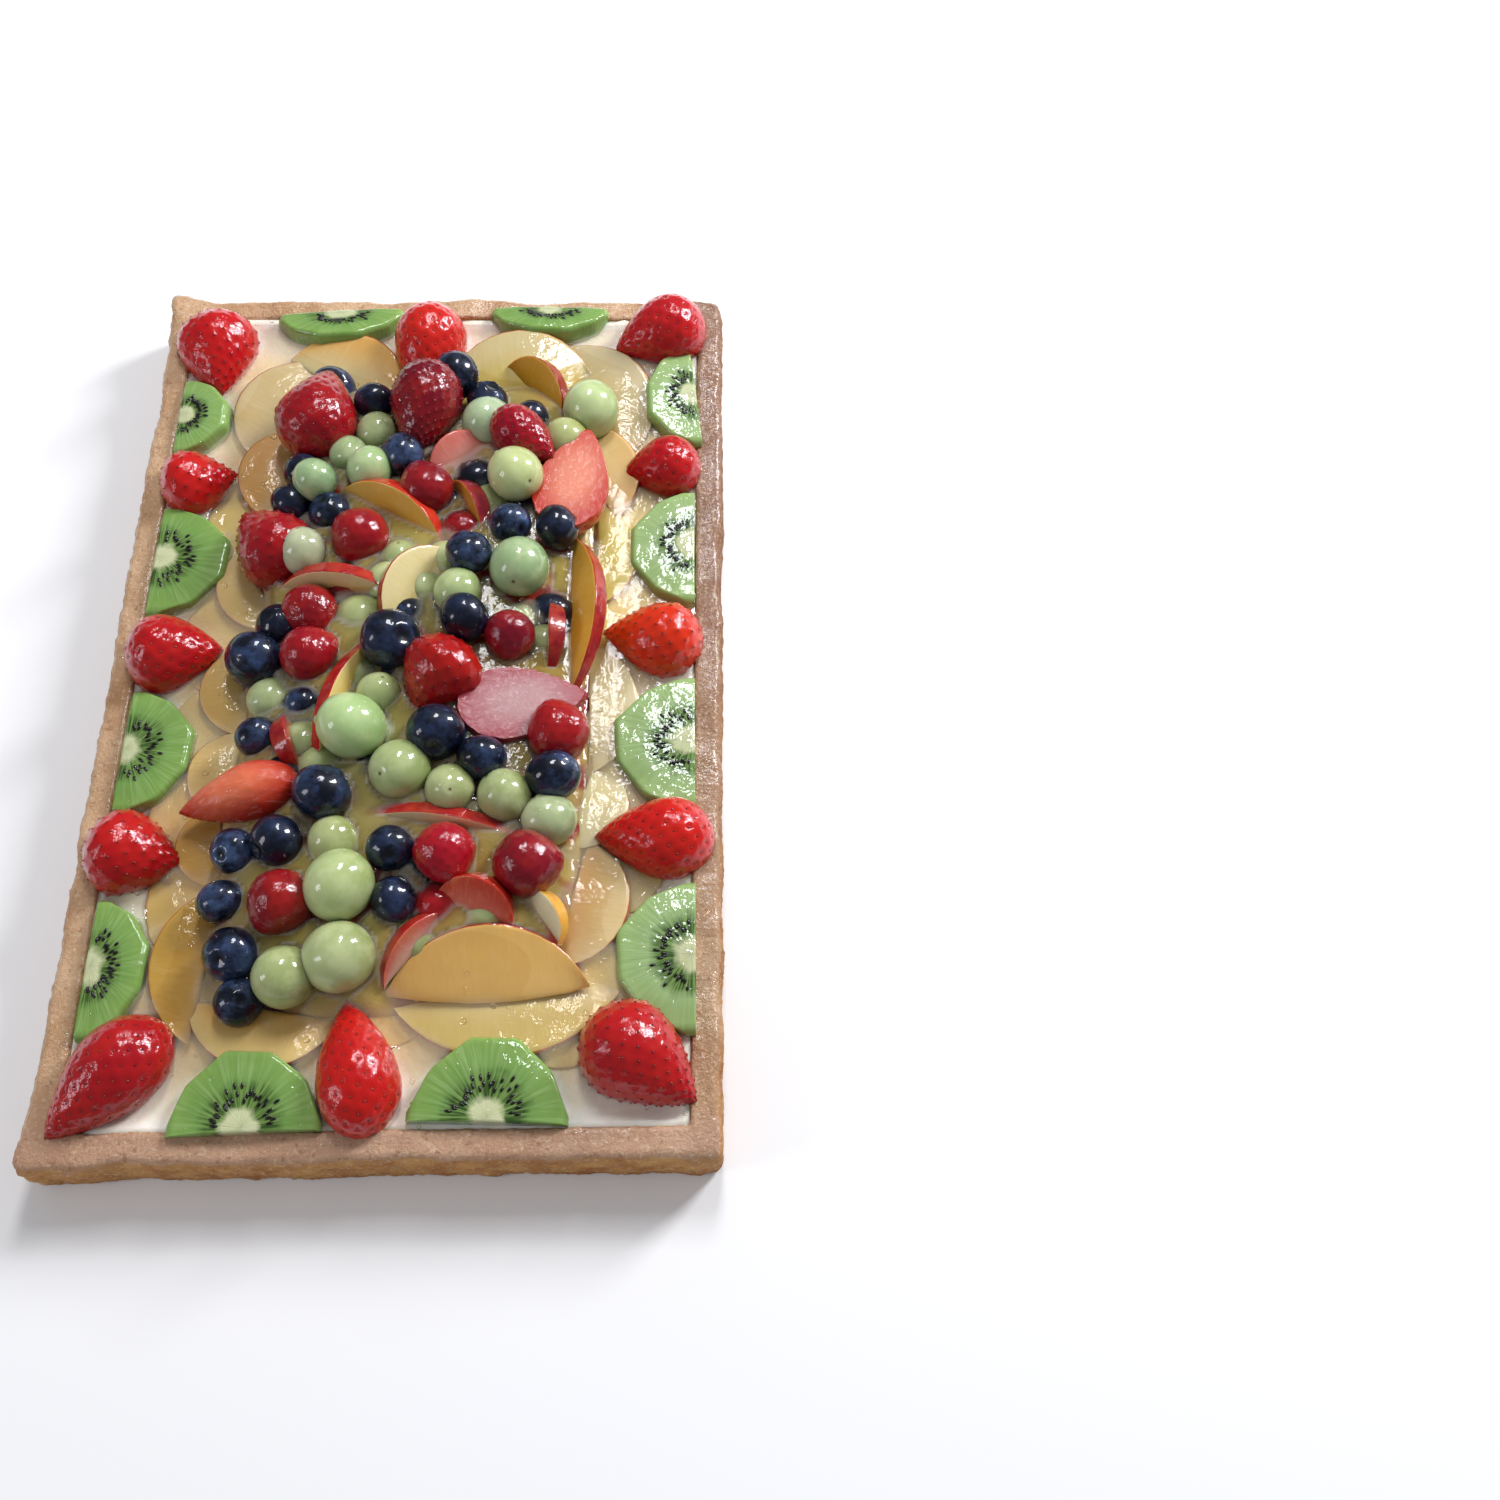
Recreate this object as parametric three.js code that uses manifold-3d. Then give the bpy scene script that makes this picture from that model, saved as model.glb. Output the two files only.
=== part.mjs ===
// A rectangular fruit tart: shortcrust case, cream filling, a border of halved strawberries and
// kiwi slices, flat peach slices inside it, and a heap of berries, grapes and nectarine in the middle.
// Millimetres, +Z up, +Y towards the back. The origin is under the middle of the case.

import * as THREE from 'three';
import { mergeVertices } from 'three/addons/utils/BufferGeometryUtils.js';
import Module from 'manifold-3d';

const wasm = await Module();
wasm.setup();

// Driving dimensions of the case and its filling
const caseLength = 306;
const caseWidthBack = 196;
const caseWidthFront = 190;
const cornerRadius = 3.5;
const rimHeight = 20;
const rimWidth = 9;
const baseThickness = 6;
const creamTop = 16;
const gap = 0.4; // clearance between two pieces that touch
const heapGap = 0.7; // clearance between the heap and the pieces on it
const stations = 87; // steps round the case
const pieceTolerance = 0.14; // longest edge that is collapsed in a piece
const heapTolerance = 0.5;

// Driving dimensions of the fruit, which sits a little off the middle of the case
const fruitShiftX = 1.5;
const fruitShiftY = -0.7;
const fruitFloor = creamTop + gap;
const kiwiThickness = 6.5;
const strawberryLift = 3; // middle of a rim strawberry above the cream
const heapHalfWidth = 53;
const heapHalfLength = 111;
const heapRise = 12;

// Lumps of pastry on the rim: where round the case (0 to 1 from the front left corner, anticlockwise
// seen from above), how wide as a share of the way round, how far out and how far up
const lumps = [
  { at: 0.994, width: 0.012, out: 1.6, up: 0.6 },
  { at: 0.012, width: 0.008, out: 1.0, up: -0.8 },
  { at: 0.693, width: 0.010, out: 0.6, up: 3.4 },
  { at: 0.503, width: 0.012, out: 0.4, up: 1.0 },
  { at: 0.585, width: 0.008, out: 0.8, up: 1.4 },
];

// Halved strawberries along the rim: middle x, y, length, width, heading of the tip, pitch of the
// tip (down is positive), extra height
const rimStrawberries = [
  [-80, 127, 34, 28, -80, 0, 0],
  [-7, 127, 36, 25, -98, 10, 3],
  [74, 136, 34, 26, 203, 4, 2],
  [-79, 72, 25, 23, 15, 0, 1],
  [-77, 6, 30, 26, 5, 0, 1],
  [-79, -62, 28, 26, -10, 0, 1],
  [75, 78, 27, 22, 190, 0, 1],
  [73, 11, 32, 25, 172, 0, 1],
  [74, -58, 36, 25, 178, 0, 1],
  [-76, -129, 42, 25, -131, 0, 1],
  [-8, -126, 40, 23, 102, 0, 1],
  [71, -125, 38, 28, -38, 0, 1],
];

// Kiwi half slices: middle of the cut edge x, y, half the cut edge, reach from it, heading of the
// reach, tilt of the face towards the heading
const kiwis = [
  [-87, 99, 15, 15, 0, 8],
  [-87, 41, 20, 22, 0, 0],
  [-86, -28, 20, 19, 0, 0],
  [-85, -97, 20, 15, 0, 0],
  [85, 108, 20, 16, 186, 6],
  [85, 46, 21, 20, 180, 0],
  [85, -26, 22, 24, 180, 0],
  [85, -95, 22, 22, 180, 0],
  [-39, 143, 21, 12, -86, 14],
  [35, 145, 20, 11, -90, 14],
  [-37, -143, 20, 22, 92, 0],
  [29, -141, 21, 23, 88, 0],
];

// Peach slices lying flat: middle x, y, length, width, bulge of the pit side, heading of the skin
// side, height of the lower face above the cream, thickness at the pit and at the skin side
const flatSlices = [
  [-59, 108, 46, 22, -3, 148, 0, 3, 5.5],
  [-31, 124, 44, 21, -2, 62, 1.5, 3, 5],
  [-58, 79, 38, 17, -2, 165, 0, 3, 5.5],
  [-60, 29, 34, 15, 0, 200, 0, 3, 5],
  [-60, -7, 32, 16, 0, 185, 0, 3, 5],
  [-59, -35, 30, 17, 0, 172, 0, 3, 5],
  [-60, -60, 26, 15, 0, 190, 0, 3, 5],
  [-60, -93, 50, 18, 2, 170, 0, 3, 6],
  [25, 125, 50, 24, -3, 94, 1.5, 3, 5.5],
  [58, 115, 54, 24, -3, 38, 0, 3, 5.5],
  [59, 80, 42, 16, 0, 22, 1, 3, 6],
  [61, 44, 40, 14, 0, 0, 0, 3, 5],
  [61, -12, 46, 16, 0, 4, 0, 3, 5],
  [58, -49, 26, 16, 0, -20, 0, 3, 5],
  [58, -80, 40, 18, 0, -14, 0, 3, 6],
  [-37, -118, 44, 17, -1, 262, 0, 3, 5],
  [32, -115, 66, 19, -2, 272, 0, 3, 5],
];

// Nectarine slices: middle x, y, z, length, width, bulge of the pit side, heading of the skin side,
// roll of the skin side upwards, thickness at the pit and at the skin side
const nectarines = [
  [27, -96, 25, 58, 19, 2, 92, 12, 2, 6],
  [33, 112, 25, 30, 14, 2, 42, 40, 2, 6],
  [-11, 54, 32, 44, 16, 3, 60, 55, 3, 9],
  [-26, 25, 31, 42, 14, 3, 84, 78, 3, 8],
  [-3, 25, 33, 36, 17, 2, 152, 32, 3, 7],
  [-21, -15, 32, 50, 11, 3, 164, 62, 3, 7],
  [51, 19, 29, 62, 17, 3, 2, 60, 3, 8],
  [11, -56, 29, 56, 11, 2, 82, 74, 3, 7],
];

// Strawberries and raspberries on the heap: middle x, y, z, length, width, heading of the tip,
// pitch of the tip (down is positive), cut face (1 shows the inside)
const heapStrawberries = [
  [-39, 93, 31, 34, 27, 82, -6, 0],
  [-4, 95, 32, 34, 24, 262, 6, 0],
  [30, 82, 33, 27, 17, -42, 0, 0],
  [47, 66, 31, 42, 24, 78, 0, 1],
  [-50, 43, 27, 31, 26, 132, 0, 0],
  [8, -9, 32, 27, 25, 240, 12, 0],
  [34, -17, 30, 40, 25, 12, 8, 1],
  [-48, -47, 29, 36, 18, 196, 4, 0],
];

// Small pieces of the heap, each x, y, z and size
const blueberries = [
  [-37, 108, 24, 16], [-22, 100, 28, 14], [5, 110, 30, 17], [16, 101, 28, 14], [31, 94, 27, 13],
  [-43, 71, 28, 13], [-45, 58, 28, 14], [-32, 54, 29, 14], [-10, 75, 31, 16], [42, 46, 32, 15],
  [27, 48, 31, 14], [15, 34, 36, 15], [15, 10, 36, 16], [-7, 3, 35, 19], [-50, 0, 27, 19],
  [-44, 12, 28, 14], [-46, -27, 28, 13], [-33, -16, 27, 12], [9, -29, 34, 18],
  [23, -37, 33, 15], [44, -42, 31, 17], [-23, -48, 33, 18], [-35, -62, 30, 16], [-48, -64, 27, 14],
  [-50, -79, 26, 14], [-45, -95, 26, 16], [-42, -108, 23, 14], [-2, -65, 31, 14], [0, -80, 29, 14],
];
const grapes = [
  [51, 98, 26, 19], [17, 91, 29, 17], [43, 84, 27, 16], [28, 65, 34, 18], [-37, 64, 33, 14],
  [-20, 69, 32, 15], [-28, 77, 29, 13], [-20, 87, 28, 14], [-38, 37, 32, 15], [31, 30, 34, 19],
  [12, 21, 33, 15], [-44, -13, 25, 14], [-10, -14, 30, 14], [-16, -27, 35, 20],
  [-1, -40, 32, 18], [14, -46, 31, 15], [30, -48, 30, 16], [43, -55, 28, 16], [-15, -77, 33, 20],
  [-14, -97, 29, 20], [-29, -102, 27, 18], [-19, -62, 29, 15],
];
const redBerries = [
  [-1, 61, 33, 18], [8, 77, 29, 19], [-21, 43, 31, 19], [-34, 16, 29, 18], [-32, 0, 31, 18],
  [29, 5, 33, 16], [45, -27, 31, 19], [-32, -81, 30, 19], [14, -67, 32, 18], [38, -70, 31, 20],
  [24, -80, 31, 16], [43, -83, 28, 14], [3, -94, 27, 15], [13, 57, 31, 14], [-35, -29, 29, 13],
  [42, 8, 31, 12],
];

const degrees = Math.PI / 180;

// A seeded pseudo-random number from 0 to 1
function randomFrom(seed) {
  let state = seed;
  return () => {
    state = (state * 16807) % 2147483647;
    return state / 2147483647;
  };
}

// Closed smooth unevenness round a loop, about -1 to 1, as a sum of waves with random phases
function makeRoughness(seed, slowest, fastest) {
  const random = randomFrom(seed);
  const waves = [];
  for (let count = slowest; count <= fastest; count += 3) {
    waves.push({ count, phase: random() * 2 * Math.PI, size: 0.5 + random() });
  }
  const norm = 1 / Math.sqrt(waves.length);
  return (share) => {
    let sum = 0;
    for (const wave of waves) sum += wave.size * Math.sin(2 * Math.PI * wave.count * share + wave.phase);
    return sum * norm;
  };
}

// A closed manifold from a three.js geometry, with shared vertices merged and empty triangles dropped
function toSolid(geometry) {
  let merged = geometry.clone();
  merged.deleteAttribute('normal');
  merged.deleteAttribute('uv');
  merged = mergeVertices(merged, 1e-4);
  const index = merged.index.array;
  const kept = [];
  for (let i = 0; i < index.length; i += 3) {
    const [a, b, c] = [index[i], index[i + 1], index[i + 2]];
    if (a !== b && b !== c && c !== a) kept.push(a, b, c);
  }
  return new wasm.Manifold(new wasm.Mesh({
    numProp: 3,
    vertProperties: new Float32Array(merged.attributes.position.array),
    triVerts: new Uint32Array(kept),
  }));
}

// A three.js geometry from a manifold
function toGeometry(solid) {
  const mesh = solid.getMesh();
  const geometry = new THREE.BufferGeometry();
  geometry.setAttribute('position', new THREE.BufferAttribute(mesh.vertProperties, 3));
  geometry.setIndex(new THREE.BufferAttribute(mesh.triVerts, 1));
  geometry.computeVertexNormals();
  return geometry;
}

// The largest single body of a solid, with edges shorter than the tolerance collapsed
function largestBody(solid, tolerance) {
  const bodies = solid.simplify(tolerance).decompose();
  bodies.sort((a, b) => b.volume() - a.volume());
  return bodies[0];
}

// A closed skin through rings of equal count, ended by a middle point at each end
function skinRings(rings, firstMiddle, lastMiddle) {
  const count = rings[0].length;
  const points = [firstMiddle, ...rings.flat(), lastMiddle];
  const index = [];
  const at = (ring, step) => 1 + ring * count + (step % count);
  for (let step = 0; step < count; step++) {
    index.push(0, at(0, step + 1), at(0, step));
    for (let ring = 0; ring + 1 < rings.length; ring++) {
      index.push(at(ring, step), at(ring, step + 1), at(ring + 1, step + 1));
      index.push(at(ring, step), at(ring + 1, step + 1), at(ring + 1, step));
    }
    index.push(points.length - 1, at(rings.length - 1, step), at(rings.length - 1, step + 1));
  }
  const geometry = new THREE.BufferGeometry().setFromPoints(points);
  geometry.setIndex(index);
  return geometry;
}

// The outline of the case, set in by a distance, from the front left corner
function caseShape(inset, radius = cornerRadius) {
  const y = caseLength / 2 - inset;
  const front = caseWidthFront / 2 - inset;
  const back = caseWidthBack / 2 - inset;
  const shape = new THREE.Shape();
  shape.moveTo(-front + radius, -y);
  shape.lineTo(front - radius, -y);
  shape.quadraticCurveTo(front, -y, front, -y + radius);
  shape.lineTo(back, y - radius);
  shape.quadraticCurveTo(back, y, back - radius, y);
  shape.lineTo(-back + radius, y);
  shape.quadraticCurveTo(-back, y, -back, y - radius);
  shape.lineTo(-front, -y + radius);
  shape.quadraticCurveTo(-front, -y, -front + radius, -y);
  return shape;
}

const outerOutline = caseShape(0).getSpacedPoints(stations).slice(0, stations);
const innerOutline = caseShape(rimWidth, 1.5).getSpacedPoints(stations).slice(0, stations);

// A ring round the case: how far in from the outline, and the height, each with its own unevenness
function caseRing(inset, height, outwards = () => 0, upwards = () => 0) {
  return outerOutline.map((outer, step) => {
    const inwards = innerOutline[step].clone().sub(outer).normalize();
    const share = step / stations;
    const place = outer.clone().addScaledVector(inwards, inset - outwards(share));
    return new THREE.Vector3(place.x, place.y, height + upwards(share));
  });
}

// The lumps' share of a place round the case
function lumpAt(share, way) {
  return lumps.reduce((sum, lump) => {
    const apart = Math.abs(share - lump.at);
    const near = Math.min(apart, 1 - apart) / lump.width;
    return sum + lump[way] * Math.exp(-near * near);
  }, 0);
}

// The case, or with grow a copy that is larger all over, for cutting the fruit clear of it
function makeCrust(grow = 0) {
  const slow = makeRoughness(11, 2, 17);
  const crags = makeRoughness(23, 19, 55);
  const foot = makeRoughness(37, 13, 49);
  const tops = makeRoughness(41, 7, 43);
  const wall = (share) => 0.35 * slow(share) + 0.45 * crags(share) + lumpAt(share, 'out');
  const toe = (share) => 0.35 * slow(share) + 0.5 * foot(share) + 0.6 * lumpAt(share, 'out');
  const crest = (share) => 0.45 * tops(share) + lumpAt(share, 'up');
  const lip = (share) => 0.35 * tops(share + 0.01) + 0.6 * lumpAt(share, 'up');
  const rings = [
    caseRing(1.2 - grow, 0, toe),
    caseRing(-grow, 1.6, toe),
    caseRing(0.1 - grow, 9, wall),
    caseRing(0.5 - grow, 15.5, wall),
    caseRing(1.6 - grow, rimHeight - 1.4 + grow, wall, crest),
    caseRing(3.2, rimHeight - 0.2 + grow, wall, crest),
    caseRing(6.2, rimHeight + grow, () => 0, lip),
    caseRing(8.2 + grow, rimHeight - 1.2 + grow, () => 0, lip),
    caseRing(rimWidth + grow, creamTop + 1),
    caseRing(rimWidth + 0.6 + grow, baseThickness + grow),
  ];
  const middles = [0, baseThickness + grow].map((height) => new THREE.Vector3(0, 0, height));
  return skinRings(rings, ...middles);
}

function makeCream() {
  const ring = (inset, height) => caseShape(inset, 5).getPoints(3).slice(0, -1)
    .map((point) => new THREE.Vector3(point.x, point.y, height));
  const rings = [
    ring(rimWidth + 0.8 + gap, baseThickness + gap),
    ring(rimWidth + 0.6 + gap, creamTop - 1),
    ring(rimWidth + 1.6 + gap, creamTop),
  ];
  const middles = [baseThickness + gap, creamTop].map((height) => new THREE.Vector3(0, 0, height));
  return skinRings(rings, ...middles);
}

// A berry as a faceted ball, slightly flattened
function makeBerry(x, y, z, size, grow = 0, flatten = 0.94) {
  const radius = size / 2 + grow;
  const ball = new THREE.SphereGeometry(radius * 1.04, 6, 4);
  ball.rotateX(x);
  ball.scale(1, 1, flatten);
  ball.rotateZ(x * y);
  return ball.translate(x + fruitShiftX, y + fruitShiftY, z);
}

// A strawberry lying along its heading: a turned cone with a round shoulder and a blunt tip
function makeStrawberry(length, width, grow = 0) {
  const sides = 9;
  const steps = 6;
  const profile = [];
  for (let step = 0; step <= steps; step++) {
    const along = (1 - Math.cos((Math.PI * step) / steps)) / 2;
    const spread = Math.sqrt(Math.sin(Math.PI * Math.pow(along, 1.55)));
    const radius = step === 0 || step === steps ? 0 : (width / 2 + grow) * spread;
    profile.push(new THREE.Vector2(radius, (along - 0.5) * (length + 2 * grow)));
  }
  const body = new THREE.LatheGeometry(profile, sides);
  // The tip is at the start of the profile, and turns to +X
  return body.rotateZ(Math.PI / 2);
}

// A kiwi half slice: straight cut edge along Y at x = 0, peeled in flat strokes round the other side
function makeKiwi(half, reach, grow = 0) {
  const strokes = 7;
  const shape = new THREE.Shape();
  const bevel = 1.2;
  for (let step = 0; step <= strokes; step++) {
    const angle = (step / strokes - 0.5) * Math.PI;
    const uneven = 1 + 0.025 * Math.sin(step * 2.3 + half);
    const x = (reach - bevel + grow) * Math.cos(angle) * uneven;
    const y = (half - bevel + grow) * Math.sin(angle) * uneven;
    if (step === 0) shape.moveTo(-grow, y);
    shape.lineTo(Math.max(x, 0.8), y);
    if (step === strokes) shape.lineTo(-grow, y);
  }
  const slice = new THREE.ExtrudeGeometry(shape, {
    depth: kiwiThickness - bevel + 2 * grow,
    bevelEnabled: true,
    bevelThickness: bevel,
    bevelSize: bevel,
    bevelOffset: 0,
    bevelSegments: 1,
  });
  return slice.translate(0, 0, -grow - bevel);
}

// A slice of stone fruit: a crescent, its skin on the arc at +Y and its pit side at -Y, thicker at
// the skin, tapering to both ends
function makeSlice(length, width, pitBulge, thin, thick, grow = 0) {
  const steps = 8;
  const half = length / 2 + 3 * grow; // the ends are slender, so they grow more
  const rise = width + grow;
  const radius = (half * half + rise * rise) / (2 * rise);
  const sweep = Math.asin(Math.min(1, half / radius));
  const rings = [];
  for (let step = 1; step < steps; step++) {
    const turn = ((2 * step) / steps - 1) * sweep;
    const x = radius * Math.sin(turn);
    const taper = 0.45 + 0.55 * (1 - (x / half) ** 2);
    const skin = rise - radius * (1 - Math.cos(turn)) - width / 2;
    const pit = pitBulge * Math.max(0, 1 - (2 * x / length) ** 2) - width / 2 - grow;
    rings.push([
      new THREE.Vector3(x, skin, -grow),
      new THREE.Vector3(x, skin, thick * taper + grow),
      new THREE.Vector3(x, pit, thin * taper + grow),
      new THREE.Vector3(x, pit, -grow),
    ]);
  }
  const ends = [-half, half].map((x) => new THREE.Vector3(x, -width / 2, 0.2 * thick));
  return skinRings(rings, ends[0], ends[1]);
}

// The core of the heap: a low dome on a rounded rectangle
function makeHeapCore(grow = 0) {
  const dome = [[0, 0], [1, 0], [0.97, 0.45], [0.8, 0.85], [0, 1]];
  const profile = dome.map(([radius, rise], i) => {
    const height = i < 2 ? fruitFloor - grow : fruitFloor + grow + rise * heapRise;
    return new THREE.Vector2(radius, height);
  });
  const core = new THREE.LatheGeometry(profile, 16).rotateX(Math.PI / 2);
  const place = core.attributes.position;
  for (let i = 0; i < place.count; i++) {
    const [x, y] = [place.getX(i), place.getY(i)];
    const angle = Math.atan2(y, x);
    const square = (Math.abs(Math.cos(angle)) ** 5 + Math.abs(Math.sin(angle)) ** 5) ** (-1 / 5);
    place.setX(i, x * square * (heapHalfWidth + grow));
    place.setY(i, y * square * (heapHalfLength + grow));
  }
  return core;
}

// Where fruit can lie: everything above the cream, clear of the case
const roomForFruit = toSolid(new THREE.BoxGeometry(400, 400, 200).translate(0, 0, 100 + fruitFloor))
  .subtract(toSolid(makeCrust(gap)));

const skinRed = new THREE.MeshStandardMaterial({ color: 0xa5161a, roughness: 0.3, metalness: 0 });
const kiwiGreen = new THREE.MeshStandardMaterial({ color: 0x8fae4a, roughness: 0.3, metalness: 0 });
const peachFlesh = new THREE.MeshStandardMaterial({ color: 0xd9b673, roughness: 0.35, metalness: 0 });
const nectarineFlesh = new THREE.MeshStandardMaterial({ color: 0xd9893a, roughness: 0.35, metalness: 0 });
const berryBlue = new THREE.MeshStandardMaterial({ color: 0x26304d, roughness: 0.4, metalness: 0 });
const bakedPastry = new THREE.MeshStandardMaterial({ color: 0xc39468, roughness: 0.75, metalness: 0 });
const cream = new THREE.MeshStandardMaterial({ color: 0xe6dcc8, roughness: 0.5, metalness: 0 });

// The pieces of fruit that are nodes of their own, from the lowest to the highest. Each is a
// function of how much it is grown, so that its neighbours can be cut clear of it.
const pieces = [];

function addPiece(name, material, make) {
  pieces.push({ name, material, make });
}

function addKiwi(number) {
  const [x, y, half, reach, heading, tilt] = kiwis[number - 1];
  addPiece(`kiwi_${number}`, kiwiGreen, (grow) => makeKiwi(half, reach, grow)
    .rotateY(-tilt * degrees)
    .rotateZ(heading * degrees)
    .translate(x + fruitShiftX, y + fruitShiftY, fruitFloor));
}

addKiwi(9);
addKiwi(10);

flatSlices.forEach(([x, y, length, width, bulge, heading, lift, thin, thick], i) => {
  addPiece(`peach_${i + 1}`, peachFlesh, (grow) => makeSlice(length, width, bulge, thin, thick, grow)
    .rotateZ((heading - 90) * degrees)
    .translate(x + fruitShiftX, y + fruitShiftY, fruitFloor + lift));
});

[1, 2, 3, 4, 5, 6, 7, 8, 11, 12].forEach(addKiwi);

rimStrawberries.forEach(([x, y, length, width, heading, pitch, lift], i) => {
  addPiece(`strawberry_${i + 1}`, skinRed, (grow) => makeStrawberry(length, width, grow)
    .rotateY(pitch * degrees)
    .rotateZ(heading * degrees)
    .translate(x + fruitShiftX, y + fruitShiftY, fruitFloor + strawberryLift + lift));
});

nectarines.forEach(([x, y, z, length, width, bulge, heading, roll, thin, thick], i) => {
  addPiece(`nectarine_${i + 1}`, nectarineFlesh, (grow) => makeSlice(length, width, bulge, thin, thick, grow)
    .translate(0, 0, -thick / 2)
    .rotateX(roll * degrees)
    .rotateZ((heading - 90) * degrees)
    .translate(x + fruitShiftX, y + fruitShiftY, z));
});

// A cut strawberry is flat on top, where its inside shows
const belowCut = (grow) => new THREE.BoxGeometry(200, 200, 100).translate(0, 0, -50 + 2 + grow);

heapStrawberries.forEach(([x, y, z, length, width, heading, pitch, cut], i) => {
  addPiece(`heap_strawberry_${i + 1}`, skinRed, (grow) => {
    let body = makeStrawberry(length, width, grow);
    if (cut) body = toGeometry(toSolid(body).intersect(toSolid(belowCut(grow))));
    return body.rotateY(pitch * degrees)
      .rotateZ(heading * degrees)
      .translate(x + fruitShiftX, y + fruitShiftY, z);
  });
});

// The heap: its core with the small fruit fused on, which is clear of every other piece
function makeHeap() {
  const [first, ...rest] = [...blueberries, ...grapes, ...redBerries].map((berry) => makeBerry(...berry));
  let small = toSolid(first);
  for (const berry of rest) small = small.add(toSolid(berry));
  small = small.intersect(roomForFruit);
  for (const piece of pieces) small = small.subtract(toSolid(piece.make(heapGap)));
  return largestBody(toSolid(makeHeapCore()).add(small), heapTolerance);
}

const tart = new THREE.Group();

function addNode(name, geometry, material) {
  const mesh = new THREE.Mesh(geometry, material);
  mesh.name = name;
  tart.add(mesh);
}

addNode('crust', makeCrust(), bakedPastry);
addNode('cream', makeCream(), cream);
const roomByHeap = roomForFruit.subtract(toSolid(makeHeapCore(heapGap)));
pieces.forEach((piece, i) => {
  let solid = toSolid(piece.make(0)).intersect(roomByHeap);
  for (const above of pieces.slice(i + 1)) solid = solid.subtract(toSolid(above.make(gap)));
  addNode(piece.name, toGeometry(largestBody(solid, pieceTolerance)), piece.material);
});
addNode('heap', toGeometry(makeHeap()), berryBlue);

// The lumps make the case a little uneven, so the group is moved until the origin is under its middle
const middle = new THREE.Box3().setFromObject(tart, true).getCenter(new THREE.Vector3());
tart.position.set(-middle.x, -middle.y, 0);

export default tart;
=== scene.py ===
# A rectangular fruit tart: a baked case with cream, a border of glazed fruit and a heap of berries
import bisect
import math
import random

import bmesh
import bpy
import numpy
from mathutils import Matrix, Vector, noise
from mathutils.bvhtree import BVHTree
from mathutils.kdtree import KDTree


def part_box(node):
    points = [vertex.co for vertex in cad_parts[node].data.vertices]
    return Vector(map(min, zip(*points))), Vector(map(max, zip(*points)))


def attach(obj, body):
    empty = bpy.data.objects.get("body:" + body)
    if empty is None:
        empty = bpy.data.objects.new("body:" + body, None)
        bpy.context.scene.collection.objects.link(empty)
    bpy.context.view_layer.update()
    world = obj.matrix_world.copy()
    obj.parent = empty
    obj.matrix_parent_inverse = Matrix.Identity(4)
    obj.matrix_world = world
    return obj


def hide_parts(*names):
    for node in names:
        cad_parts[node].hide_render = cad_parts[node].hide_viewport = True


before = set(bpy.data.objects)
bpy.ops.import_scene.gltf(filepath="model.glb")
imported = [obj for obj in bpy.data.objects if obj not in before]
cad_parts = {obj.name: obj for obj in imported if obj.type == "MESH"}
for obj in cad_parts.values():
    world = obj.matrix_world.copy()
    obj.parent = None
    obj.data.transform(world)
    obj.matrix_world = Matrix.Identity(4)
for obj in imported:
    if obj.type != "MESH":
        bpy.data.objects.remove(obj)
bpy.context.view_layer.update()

mm = 0.001
goldenAngle = math.pi * (3 - math.sqrt(5))
creamLow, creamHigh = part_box("cream")
caseMiddle = (creamLow + creamHigh) / 2
offMiddle = (1.5, -0.7)  # how far the fruit sits off the middle of the case, in millimetres
fruitShift = Vector((caseMiddle.x + offMiddle[0] * mm, caseMiddle.y + offMiddle[1] * mm, 0))
fruitFloor = creamHigh.z + 0.4 * mm


# Camera: where the photograph was taken from, looking down on the tart from the front
cameraView = {"place": (90.35, -234.5, 434.6), "pitch": 63.57, "yaw": 4.04, "roll": 3.29, "lens": 36,
              "sensor": 36}


def addCamera():
    pitch, yaw, roll = (math.radians(cameraView[name]) for name in ("pitch", "yaw", "roll"))
    forward = Vector((math.sin(yaw) * math.cos(pitch), math.cos(yaw) * math.cos(pitch), -math.sin(pitch)))
    right = Vector((math.cos(yaw), -math.sin(yaw), 0))
    up = right.cross(forward)
    right, up = math.cos(roll) * right + math.sin(roll) * up, math.cos(roll) * up - math.sin(roll) * right
    data = bpy.data.cameras.new("camera")
    data.lens = cameraView["lens"]
    data.sensor_width = cameraView["sensor"]
    camera = bpy.data.objects.new("camera", data)
    turn = Matrix((right, up, -forward)).transposed().to_4x4()
    camera.matrix_world = Matrix.Translation(Vector(cameraView["place"]) * mm) @ turn
    bpy.context.scene.collection.objects.link(camera)
    bpy.context.scene.camera = camera


addCamera()
print("camera placed")


# Colours and shader nodes
def colour(code):
    # An sRGB hex value as linear red, green, blue and alpha.
    parts = [int(code[i:i + 2], 16) / 255 for i in (1, 3, 5)]
    return tuple(p / 12.92 if p <= 0.04045 else ((p + 0.055) / 1.055) ** 2.4 for p in parts) + (1.0,)


def setInputs(tree, node, inputs):
    # Gives each input its value, or a link where the value is a socket.
    for name, value in inputs.items():
        if isinstance(value, bpy.types.NodeSocket):
            tree.links.new(value, node.inputs[name])
        else:
            node.inputs[name].default_value = value


def addNode(tree, kind, inputs=None, **settings):
    node = tree.nodes.new(kind)
    for name, value in settings.items():
        setattr(node, name, value)
    setInputs(tree, node, inputs or {})
    return node


def newMaterial(name):
    material = bpy.data.materials.new(name)
    material.use_nodes = True
    return material, material.node_tree


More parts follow.
